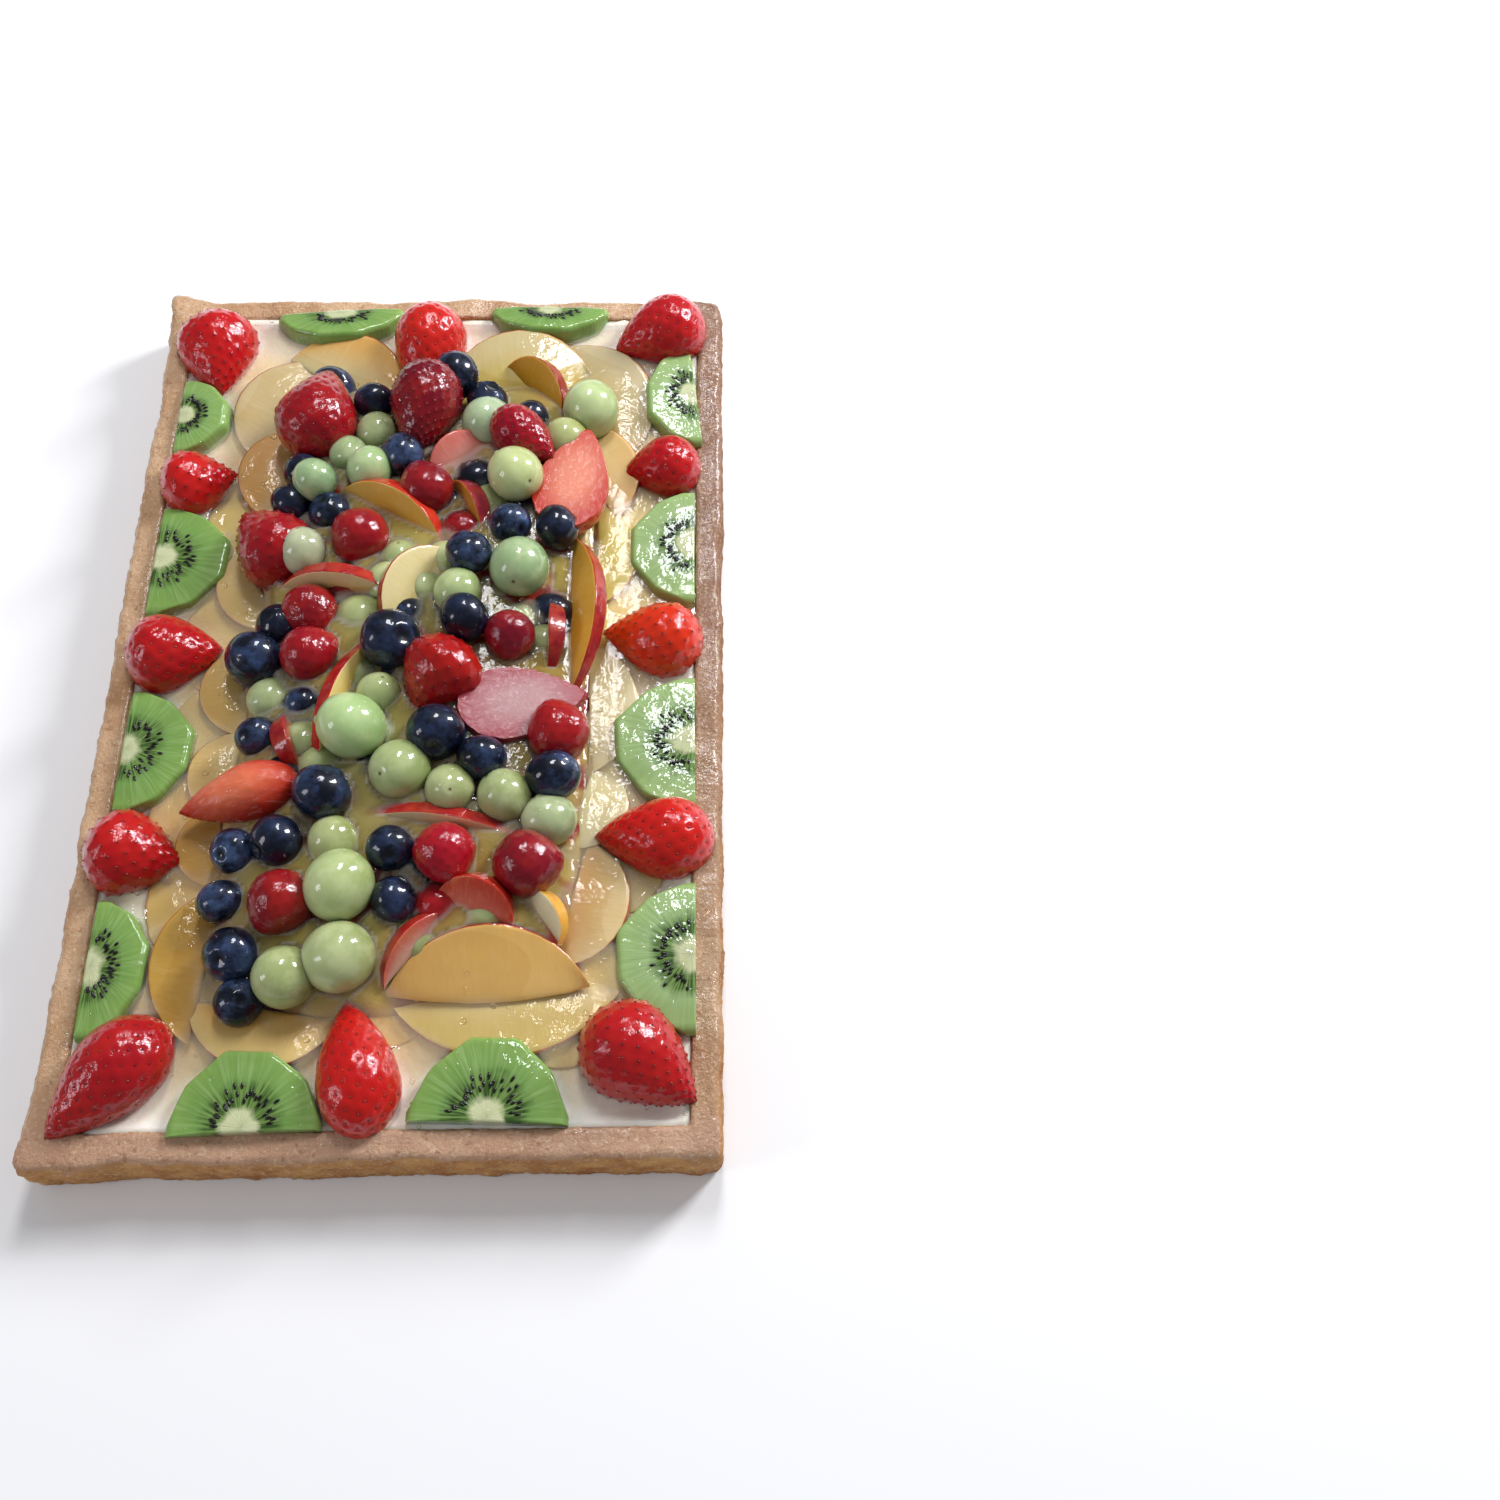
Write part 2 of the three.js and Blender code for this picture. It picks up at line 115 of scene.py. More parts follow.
def mixColours(tree, share, low, high):
    low, high = (colour(side) if isinstance(side, str) else side for side in (low, high))
    return addNode(tree, "ShaderNodeMix", {"Factor": share, 6: low, 7: high}, data_type="RGBA").outputs[2]


def maths(tree, operation, first, second=0.0):
    return addNode(tree, "ShaderNodeMath", {0: first, 1: second}, operation=operation).outputs[0]


def tint(tree, base, code, share, other=None):
    # The base mixed towards a colour, as far as the product of the shares.
    return mixColours(tree, share if other is None else maths(tree, "MULTIPLY", share, other), base, code)


def ramp(tree, value, low, high, lowest=0.0, highest=1.0):
    # A value carried from the range low to high into the range lowest to highest.
    ends = {"From Min": low, "From Max": high, "To Min": lowest, "To Max": highest}
    return addNode(tree, "ShaderNodeMapRange", {"Value": value, **ends}).outputs[0]


def onPiece(tree):
    return addNode(tree, "ShaderNodeTexCoord").outputs["Object"]


def streaks(tree, vector, scale, detail, rough=0.5):
    inputs = {"Vector": vector, "Scale": scale, "Detail": detail, "Roughness": rough}
    return addNode(tree, "ShaderNodeTexNoise", inputs).outputs["Fac"]


def pattern(tree, size, detail=3.0, rough=0.55):
    # Noise whose grains are about size millimetres across on the piece.
    return streaks(tree, onPiece(tree), 1 / (size * mm), detail, rough)


def patches(tree, size, detail, low, high, lowest=0.0, highest=1.0):
    # That noise, as patches whose edges lie between the low and the high value.
    return ramp(tree, pattern(tree, size, detail), low, high, lowest, highest)


def bump(tree, height, depth):
    # A bump depth millimetres deep.
    return addNode(tree, "ShaderNodeBump", {"Height": height, "Distance": depth * mm}).outputs["Normal"]


def readColour(tree, name):
    return addNode(tree, "ShaderNodeAttribute", attribute_name=name).outputs["Color"]


def readVector(tree, name):
    return addNode(tree, "ShaderNodeAttribute", attribute_name=name).outputs["Vector"]


def axesOf(tree, vector):
    return addNode(tree, "ShaderNodeSeparateXYZ", {"Vector": vector}).outputs


def lengthOf(tree, vector):
    return addNode(tree, "ShaderNodeVectorMath", {0: vector}, operation="LENGTH").outputs["Value"]


def stretched(tree, vector, scale):
    return addNode(tree, "ShaderNodeMapping", {"Vector": vector, "Scale": scale}).outputs[0]


def readMark(tree):
    # What Z of the spot says: how near a pit, crown or scar is, or how cloudy the jelly is.
    return axesOf(tree, readVector(tree, "spot"))["Z"]


def coatWith(material, base, roughness, coat, **more):
    # Sets the material's own shader. More is any other input, with a low line for a space in its name.
    named = {name.replace("_", " "): value for name, value in more.items()}
    tree = material.node_tree
    setInputs(tree, tree.nodes["Principled BSDF"], {"Base Color": base, "Roughness": roughness,
                                                    "Coat Weight": coat, **named})
    return material


def glazed(material, base, roughness, wrinkle=2.5, depth=0.12, coat=1.0, scatter=0.0, reach=2, **more):
    # The brushed jelly glaze: a clear coat whose own wrinkles break up its highlights. Light that scatters in
    # the fruit goes as far as the reach, in millimetres.
    creases = bump(material.node_tree, pattern(material.node_tree, wrinkle, 2.0), depth)
    return coatWith(material, base, roughness, coat, Coat_Roughness=0.035, Coat_IOR=1.42, Coat_Normal=creases,
                    Specular_IOR_Level=0.15, Subsurface_Weight=scatter, Subsurface_Scale=reach * mm, **more)


def bakedPastry():
    # Shortcrust, rolled and baked: tan on top, golden brown at the sides, glossy where glaze ran on the rim,
    # with painted shade darkening the right-hand rim and wall
    material, tree = newMaterial("bakedShortcrust")
    place = axesOf(tree, onPiece(tree))
    facing = axesOf(tree, addNode(tree, "ShaderNodeNewGeometry").outputs["Normal"])
    top = ramp(tree, facing["Z"], 0.25, 0.8)
    tan = mixColours(tree, patches(tree, 22, 4.0, 0.35, 0.65), "#b98a5e", "#d8b188")
    wall = mixColours(tree, patches(tree, 7, 5.0, 0.36, 0.64), "#b07032", "#cf9956")
    base = mixColours(tree, top, wall, tan)
    base = tint(tree, base, "#c0907a", ramp(tree, place["Y"], -136 * mm, -144 * mm, 0.0, 0.45), top)
    # Painted shade: the right-hand rim and wall are darkened to brown, more so towards the back.
    paintedShadeRight = ramp(tree, place["X"], 80 * mm, 91 * mm)
    base = tint(tree, base, "#7a4e34", paintedShadeRight, ramp(tree, place["Y"], -140 * mm, 40 * mm, 0.2, 0.85))
    base = tint(tree, base, "#8a4f22", ramp(tree, place["Z"], 6 * mm, 0.0), 0.5)
    base = tint(tree, base, "#e3c8a2", patches(tree, 1.2, 3.0, 0.55, 0.68), 0.55)
    base = tint(tree, base, "#8a5327", patches(tree, 1.9, 3.0, 0.40, 0.30), 0.5)
    wet = maths(tree, "MULTIPLY", patches(tree, 12, 3.0, 0.38, 0.6, 0.15, 0.9), top)
    return coatWith(material, base, ramp(tree, top, 0, 1, 0.8, 0.48), wet, Coat_Roughness=0.14,
                    Normal=bump(tree, pattern(tree, 1.1, 5.0, 0.7), 0.8),
                    Coat_Normal=bump(tree, pattern(tree, 1.6), 0.4))


def pastryCream():
    # Whisked cream spread with a knife: off-white and smooth, stained yellow by the fruit all over the middle
    material, tree = newMaterial("spreadCream")
    base = mixColours(tree, patches(tree, 26, 3.0, 0.38, 0.62), "#faf2e2", "#fbf6f0")
    place = axesOf(tree, onPiece(tree))
    across = ramp(tree, maths(tree, "ABSOLUTE", place["X"]), 76 * mm, 62 * mm)
    along = ramp(tree, maths(tree, "ABSOLUTE", place["Y"]), 132 * mm, 118 * mm)
    base = tint(tree, base, "#e2c988", across, along)
    return glazed(material, base, 0.45, 5, 0.2, scatter=0.25, Normal=bump(tree, pattern(tree, 6), 0.5))


def strawberrySkin():
    # Ripe strawberry skin: saturated red, thin and waxy, darker in the pits that hold the seeds
    material, tree = newMaterial("strawberrySkin")
    tone = readColour(tree, "tone")
    base = mixColours(tree, patches(tree, 9, 2.0, 0.35, 0.7), tone, tint(tree, tone, "#d8341a", 0.22))
    base = tint(tree, base, "#5e0410", ramp(tree, readMark(tree), 0.3, 1.0, 0.0, 0.35))
    return glazed(material, base, 0.3, 1.5, 0.3)


def strawberryFlesh():
    # Cut strawberry: wet pale pink flesh with white fibres running out to the red skin
    material, tree = newMaterial("cutStrawberry")
    spot = readVector(tree, "spot")  # X and Y run from the middle of the cut, 1 at the skin
    fibre = streaks(tree, stretched(tree, spot, (3.0, 9.0, 1.0)), 1.6, 2.0)
    ragged = maths(tree, "ADD", lengthOf(tree, spot), maths(tree, "MULTIPLY", fibre, 0.35))
    edge = ramp(tree, ragged, 0.5, 1.1)
    base = mixColours(tree, edge, readColour(tree, "pulp"), readColour(tree, "tone"))
    base = tint(tree, base, "#e6c2b8", ramp(tree, fibre, 0.55, 0.75, 0.0, 0.25))
    return glazed(material, base, 0.35, 2.2, 0.5, coat=0.3, scatter=0.3)


def seedHusk():
    # Strawberry seeds: small dry husks, dark where the berry is ripest
    material, tree = newMaterial("strawberrySeed")
    return glazed(material, mixColours(tree, patches(tree, 14, 1.0, 0.45, 0.65), "#5e0e0e", "#8e3a1c"), 0.4)


def kiwiFlesh():
    # Kiwi cut across: translucent green, pale rays running out from a white core, darkest between the seeds
    material, tree = newMaterial("cutKiwi")
    spot = readVector(tree, "spot")  # X and Y run from the core, 1 at the peel
    axes = axesOf(tree, spot)
    out = lengthOf(tree, spot)
    angle = maths(tree, "ARCTAN2", axes["Y"], axes["X"])
    around = addNode(tree, "ShaderNodeCombineXYZ", {"X": maths(tree, "MULTIPLY", angle, 9.0),
                                                    "Y": maths(tree, "MULTIPLY", out, 1.1),
                                                    "Z": readVector(tree, "turn")}).outputs[0]
    rays = streaks(tree, around, 1.6, 2.0)
    soft = maths(tree, "ADD", out, patches(tree, 5, 2.0, 0.3, 0.7, -0.06, 0.06))
    tone = readColour(tree, "tone")
    flesh = mixColours(tree, ramp(tree, soft, 0.55, 0.95), tone, tint(tree, tone, "#93b257", 0.35))
    flesh = tint(tree, flesh, "#a9c184", ramp(tree, rays, 0.45, 0.75, 0.0, 0.32))
    ring = mixColours(tree, ramp(tree, rays, 0.4, 0.62), "#35501f", "#72904a")
    base = mixColours(tree, ramp(tree, soft, 0.46, 0.62), ring, flesh)
    base = mixColours(tree, ramp(tree, soft, 0.19, 0.29), "#c3c79a", base)
    base = tint(tree, base, "#86b05c", ramp(tree, out, 0.95, 1.02, 0.0, 0.5))
    return glazed(material, base, 0.32, 3.6, 0.5, scatter=0.25, Subsurface_Radius=(0.5, 1.0, 0.2),
                  Normal=bump(tree, rays, 0.2))


def kiwiSeed():
    # Kiwi seeds: small, black and shiny
    material, tree = newMaterial("kiwiSeed")
    return glazed(material, mixColours(tree, pattern(tree, 1.5), "#0c0d0a", "#23261a"), 0.25)


def stoneFruit():
    # Peach and nectarine slices: wet flesh with fine fibres from the pit to a thin red or brown skin
    material, tree = newMaterial("slicedStoneFruit")
    spot = readVector(tree, "spot")  # X along the slice, Y from the pit side at -1 to the skin at 1, Z up
    skin = readColour(tree, "skin")
    fibre = streaks(tree, stretched(tree, spot, (16.0, 1.2, 2.0)), 1.3, 3.0)
    flesh = tint(tree, readColour(tree, "tone"), "#efdfae", ramp(tree, fibre, 0.5, 0.8, 0.0, 0.1))
    flesh = tint(tree, flesh, "#c9a558", patches(tree, 8, 2.0, 0.5, 0.75, 0.0, 0.25))
    blush = mixColours(tree, patches(tree, 4, 4.0, 0.35, 0.7), skin, tint(tree, skin, "#d8552c", 0.4))
    base = mixColours(tree, ramp(tree, axesOf(tree, spot)["Y"], 0.955, 0.99), flesh, blush)
    return glazed(material, base, 0.34, 3.4, 0.3, scatter=0.25, Subsurface_Radius=(1.0, 0.6, 0.2),
                  Normal=bump(tree, fibre, 0.08))


def blueberrySkin():
    # Blueberry skin: near black navy, dusted with a pale waxy bloom that the glaze dulls in places
    material, tree = newMaterial("blueberrySkin")
    dust = ramp(tree, pattern(tree, 7, 5.0, 0.65), 0.44, 0.72)
    smear = patches(tree, 2.2, 3.0, 0.35, 0.65, 0.55, 1.0)
    base = mixColours(tree, maths(tree, "MULTIPLY", dust, smear), "#080d1c", readColour(tree, "tone"))
    base = tint(tree, base, "#0a0c14", ramp(tree, readMark(tree), 0.3, 0.9))
    return glazed(material, base, 0.42, 3.0, 0.15)


def grapeSkin():
    # White grapes: pale green that scatters light inside, with a painted glow on the side away from the
    # window, faint veins and a brown scar at the stalk end
    material, tree = newMaterial("whiteGrape")
    tone = readColour(tree, "tone")
    veins = patches(tree, 5, 4.0, 0.44, 0.64, 0.0, 0.35)
    base = mixColours(tree, veins, tone, tint(tree, tone, "#e6e8bf", 0.6))
    base = tint(tree, base, "#5c4a1c", ramp(tree, readMark(tree), 0.5, 0.9))
    return glazed(material, base, 0.3, 5.0, 0.12, scatter=0.8, reach=5, Subsurface_Radius=(0.8, 1.0, 0.6))


def heapCoreJelly():
    # What shows deep between the berries: dark juice and crushed fruit set in the jelly
    material, tree = newMaterial("setJuice")
    base = mixColours(tree, patches(tree, 15, 2.0, 0.38, 0.5), "#8a2a20", "#b29c58")
    return glazed(material, base, 0.3, 5.0, 0.4)


def clearJelly():
    # Set fruit jelly: clear and wet in a thin film, clouded by juice where it is deep. Lamps shine through it
    material, tree = newMaterial("clearJelly")
    shader = tree.nodes["Principled BSDF"]
    fine = maths(tree, "MULTIPLY", pattern(tree, 1.6, 2.0), 0.35)
    ripple = maths(tree, "ADD", pattern(tree, 4.5, 2.0), fine)
    setInputs(tree, shader, {"Base Color": readColour(tree, "tone"), "Roughness": 0.02, "IOR": 1.36,
                             "Transmission Weight": maths(tree, "SUBTRACT", 1.0, readMark(tree)),
                             "Normal": bump(tree, ripple, 0.32)})
    path = addNode(tree, "ShaderNodeLightPath").outputs
    through = maths(tree, "MAXIMUM", path["Is Shadow Ray"], path["Is Diffuse Ray"])
    clear = addNode(tree, "ShaderNodeBsdfTransparent", {"Color": (0.98, 0.97, 0.95, 1)})
    mix = addNode(tree, "ShaderNodeMixShader", {0: through, 1: shader.outputs[0], 2: clear.outputs[0]})
    setInputs(tree, tree.nodes["Material Output"], {"Surface": mix.outputs[0]})
    return material


pastry = bakedPastry()
cream = pastryCream()
berryRed = strawberrySkin()
berryPulp = strawberryFlesh()
husk = seedHusk()
kiwiGreen = kiwiFlesh()
seedBlack = kiwiSeed()
slicedFruit = stoneFruit()
navySkin = blueberrySkin()
grapeGreen = grapeSkin()
setJuice = heapCoreJelly()
jelly = clearJelly()
print("materials made")


# Meshes
def newPiece(bm, name, *materials, flat=-1):
    for face in bm.faces:
        face.smooth = face.material_index != flat
    mesh = bpy.data.meshes.new(name)
    bm.to_mesh(mesh)
    bm.free()
    for material in materials:
        mesh.materials.append(material)
    piece = bpy.data.objects.new(name, mesh)
    bpy.context.scene.collection.objects.link(piece)
    return piece


def joinPieces(name, make, rows, more=()):
    # Makes a piece of each row of a table, and joins them and any more under one name.
    pieces = [make(i + 1, *row) for i, row in enumerate(rows)] + list(more)
    with bpy.context.temp_override(active_object=pieces[0], object=pieces[0],
                                   selected_editable_objects=pieces, selected_objects=pieces):
        bpy.ops.object.join()
    pieces[0].name = name
    pieces[0].data.name = name
    return pieces[0]


def paint(bm, **values):
    # Gives every vertex an attribute: a colour, a vector, or a function of the vertex that returns one.
    for name, value in values.items():
        layers = bm.verts.layers.float_vector if name in ("spot", "turn") else bm.verts.layers.float_color
        layer = layers.get(name) or layers.new(name)
        bm.verts.index_update()
        for vertex in bm.verts:
            vertex[layer] = value(vertex) if callable(value) else value


def place(bm, x, y, z, *turns):
    # Turns a piece about each axis in turn, in degrees, and sets it down. x and y are in millimetres, z is in
    # metres.
    matrix = Matrix.Translation(Vector((x * mm, y * mm, z)) + fruitShift)
    for angle, axis in reversed(turns):
        matrix = matrix @ Matrix.Rotation(math.radians(angle), 4, axis)
    bm.transform(matrix)


def addBlob(bm, spot, turn, sizes, finer=2):
    # A small rounded body with these half sizes, turned and set at a spot.
    matrix = Matrix.Translation(spot) @ turn @ Matrix.Diagonal((*sizes, 1))
    bmesh.ops.create_icosphere(bm, subdivisions=finer, radius=1, matrix=matrix)


def markFaces(bm, first, number):
    # Gives the faces from the first on another of the piece's materials.
    bm.faces.ensure_lookup_table()
    for face in bm.faces[first:]:
        face.material_index = number


def partsOf(geometry, kind):
    return [part for part in geometry if isinstance(part, kind)]


def fillOpen(bm, edges):
    return bmesh.ops.holes_fill(bm, edges=edges, sides=0)["faces"]


def rimOf(bm):
    return [edge for edge in bm.edges if edge.is_boundary]


def closeBelow(bm, height):
    # Draws the rim of a sheet down to a height and closes it underneath.
    grown = bmesh.ops.extrude_edge_only(bm, edges=rimOf(bm))["geom"]
    for vertex in partsOf(grown, bmesh.types.BMVert):
        vertex.co.z = height
    fillOpen(bm, rimOf(bm))
    bmesh.ops.recalc_face_normals(bm, faces=bm.faces)


def mixTone(first, second, share):
    return tuple(a + (b - a) * share for a, b in zip(first, second))


def smoothStep(value, low, high):
    share = min(1.0, max(0.0, (value - low) / (high - low)))
    return share * share * (3 - 2 * share)


# The case: its section is swept round the outline, with lumps and crags
case = {
    "length": 306, "widthBack": 196, "widthFront": 190, "cornerRadius": 3.5, "innerRadius": 1.5,
    "rimHeight": 20, "rimWidth": 9,
    "baseThickness": 6, "creamTop": 16, "stations": 1000, "crumb": 0.5, "plainBelow": 1.2,
    # where round the case (0 to 1 from the front left corner), how wide, how far out and how far up
    "lumps": [(0.994, 0.012, 1.6, 0.6), (0.012, 0.008, 1.0, -0.8), (0.693, 0.010, 0.6, 3.4),
              (0.503, 0.012, 0.4, 1.0), (0.585, 0.008, 0.8, 1.4)],
}


def randomFrom(seed):
    state = seed
    while True:
        state = (state * 16807) % 2147483647
        yield state / 2147483647


def makeRoughness(seed, slowest, fastest):
    # Closed unevenness round the case, about -1 to 1, as a sum of waves with random phases.
    draw = randomFrom(seed)
    waves = [(count, next(draw) * 2 * math.pi, 0.5 + next(draw)) for count in range(slowest, fastest + 1, 3)]
    norm = 1 / math.sqrt(len(waves))
    return lambda share: norm * sum(size * math.sin(2 * math.pi * count * share + phase)
                                    for count, phase, size in waves)


def caseOutline(inset, radius, count):
    # Points at equal steps round the case, set in by a distance, anticlockwise from the front left corner.
    y = case["length"] / 2 - inset
    front = case["widthFront"] / 2 - inset
    back = case["widthBack"] / 2 - inset
    corners = [((front - radius, -y), (front, -y), (front, -y + radius)),
               ((back, y - radius), (back, y), (back - radius, y)),
               ((-back + radius, y), (-back, y), (-back, y - radius)),
               ((-front, -y + radius), (-front, -y), (-front + radius, -y))]
    points = [(-front + radius, -y)]
    for start, corner, end in corners:
        for step in range(9):
            t = step / 8
            points.append(tuple((1 - t) ** 2 * a + 2 * t * (1 - t) * b + t * t * c
                                for a, b, c in zip(start, corner, end)))
    lengths = [0.0]
    for first, second in zip(points, points[1:]):
        lengths.append(lengths[-1] + math.dist(first, second))
    outline = []
    for step in range(count):
        target = lengths[-1] * step / count
        at = max(1, bisect.bisect_left(lengths, target))
        share = (target - lengths[at - 1]) / (lengths[at] - lengths[at - 1] or 1)
        outline.append(Vector(points[at - 1]).lerp(Vector(points[at]), share))
    return outline


def insideCase(margin):
    # Half the width at the front and at the back, and half the length, within the rim.
    return [case[side] / 2 - case["rimWidth"] + margin for side in ("widthFront", "widthBack", "length")]


def lumpAt(share, way):
    total = 0
    for lump in case["lumps"]:
        apart = abs(share - lump[0])
        near = min(apart, 1 - apart) / lump[1]
        total += lump[way] * math.exp(-near * near)
    return total


def makeCrust():
    outer = caseOutline(0, case["cornerRadius"], case["stations"])
    inner = caseOutline(case["rimWidth"], case["innerRadius"], case["stations"])
    slow, crags = makeRoughness(11, 2, 17), makeRoughness(23, 19, 55)
    foot, tops = makeRoughness(37, 13, 49), makeRoughness(41, 7, 43)

    def none(share):
        return 0

    def wall(share):
        return 0.3 * slow(share) + 0.25 * crags(share) + lumpAt(share, 2)

    def toe(share):
        return 0.3 * slow(share) + 0.3 * foot(share) + 0.6 * lumpAt(share, 2)

    def crest(share):
        return 0.25 * tops(share) + lumpAt(share, 3)

    def lip(share):
        return 0.2 * tops(share + 0.01) + 0.6 * lumpAt(share, 3)

    high, deep = case["rimHeight"], case["rimWidth"]
    section = [(1.0, 0, toe, none), (0, 1.4, toe, none), (0, 9, wall, none), (0.2, 16.5, wall, none),
               (0.9, high - 1.0, wall, crest), (2.2, high - 0.1, wall, crest), (8.4, high, none, lip),
               (9.1, high - 0.6, none, lip), (deep + 0.3, case["creamTop"] + 1.2, none, none),
               (deep + 0.6, case["baseThickness"], none, none)]
    finer = [1, 7, 6, 3, 2, 6, 2, 2, 3]  # steps from each corner of the section to the next
    middle = Vector((caseMiddle.x, caseMiddle.y, 0))
    rings = []
    for inset, height, out, up in section:
        ring = []
        for step in range(case["stations"]):
            share = step / case["stations"]
            spot = outer[step].lerp(inner[step], (inset - out(share)) / deep)
            ring.append(Vector((spot.x, spot.y, height + up(share))) * mm + middle)
        rings.append(ring)
    path = [rings[0]]
    for count, first, second in zip(finer, rings, rings[1:]):
        path += [[a.lerp(b, step / count) for a, b in zip(first, second)] for step in range(1, count + 1)]

    bm = bmesh.new()
    made = bmesh.ops.create_circle(bm, segments=case["stations"], radius=0.1)
    verts = list(made["verts"])
    firstRing = set(verts)
    for vertex, spot in zip(verts, path[0]):
        vertex.co = spot
    edges = list(bm.edges)
    for ring in path[1:]:
        grown = bmesh.ops.extrude_edge_only(bm, edges=edges)["geom"]
        fresh = set(partsOf(grown, bmesh.types.BMVert))
        edges = [edge for edge in partsOf(grown, bmesh.types.BMEdge) if fresh.issuperset(edge.verts)]
        ringEdges = set(edges)
        above = {}
        for vertex in fresh:
            below = next(edge.other_vert(vertex) for edge in vertex.link_edges if edge not in ringEdges)
            above[below] = vertex
        verts = [above[vertex] for vertex in verts]
        for vertex, spot in zip(verts, ring):
            vertex.co = spot
    fillOpen(bm, edges)
    fillOpen(bm, rimOf(bm))
    bmesh.ops.recalc_face_normals(bm, faces=bm.faces)
    bm.normal_update()
    for vertex in bm.verts:
        if len(vertex.link_edges) > 4 or vertex in firstRing or vertex.co.z <= case["plainBelow"] * mm:
            continue
        fine = noise.noise(vertex.co / (3.1 * mm)) + 0.8 * noise.noise(vertex.co / (1.5 * mm))
        broad = noise.noise(vertex.co / (7 * mm))
        side = 1 - smoothStep(vertex.normal.z, 0.3, 0.9)
        size = case["crumb"] * (0.4 + 0.6 * side)
        vertex.co += vertex.normal * (size * (fine - 0.2) + 0.25 * broad) * mm
    return newPiece(bm, "crustCase", pastry)


crustCase = makeCrust()
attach(crustCase, "root")
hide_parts("crust")
print("crust made")


# The cream: a spread sheet with shallow knife marks
creamSheet = {"cells": (90, 146), "wave": 0.5, "edgeRise": 2.9, "edgeReach": 6, "margin": -0.3}


def makeCream():
    low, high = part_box("cream")
    bm = bmesh.new()
    columns, rows = creamSheet["cells"]
    bmesh.ops.create_grid(bm, x_segments=columns, y_segments=rows, size=1)
    front, back, half = insideCase(creamSheet["margin"])
    for vertex in bm.verts:
        u, v = vertex.co.x, vertex.co.y
        width = front + (back - front) * (v + 1) / 2
        x, y = u * width * mm, v * half * mm
        spread = noise.noise(Vector((x, y * 0.5, 0)) / (14 * mm))
        spread += 0.4 * noise.noise(Vector((x, y, 5)) / (5 * mm))
        fromEdge = min((1 - abs(u)) * width, (1 - abs(v)) * half)
        rise = creamSheet["edgeRise"] * (1 - smoothStep(fromEdge, 0, creamSheet["edgeReach"]))
        height = high.z + (creamSheet["wave"] * spread + rise) * mm
        vertex.co = Vector((x + caseMiddle.x, y + caseMiddle.y, height))
    closeBelow(bm, low.z)
    return newPiece(bm, "creamSheet", cream)


creamPiece = makeCream()
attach(creamPiece, "root")
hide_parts("cream")
print("cream made")


# Kiwi half slices: peeled in flat strokes, seeds in a ring round the core
kiwi = {
    "thickness": 6.5, "bevel": 1.2, "strokes": 5, "seedRing": (0.33, 0.56), "seeds": 30, "soften": 0.7,
    # The palest tone, given to the right-hand slices, is partly their own colour and partly painted glare
    # from the window on that side.
    "tones": ["#6c9148", "#7b9e58", "#90a972"], "round": 1.6, "cuts": 27,
    # middle of the cut edge x, y, half the cut edge, reach from it, heading, tilt of the face, tone
    "slices": [(-87, 99, 15, 15, 0, 8, 1), (-87, 41, 20, 22, 0, 0, 0), (-86, -28, 20, 19, 0, 0, 0),
               (-85, -97, 20, 15, 0, 0, 0), (85, 108, 20, 16, 186, 6, 2), (85, 46, 21, 20, 180, 0, 2),
               (85, -26, 22, 24, 180, 0, 2), (85, -95, 22, 22, 180, 0, 2), (-39, 143, 21, 12, -86, 14, 0),
               (35, 145, 20, 11, -90, 14, 0), (-37, -143, 20, 22, 92, 0, 0), (29, -141, 21, 23, 88, 0, 0)],
}


def peeledEdge(corners, y):
    # How far the peeled edge stands from the cut edge, between the corners that the knife left.
    for first, second in zip(corners, corners[1:]):
        if y <= second[1]:
            share = min(1.0, max(0.0, (y - first[1]) / (second[1] - first[1])))
            return first[0] + (second[0] - first[0]) * share
    return corners[-1][0]


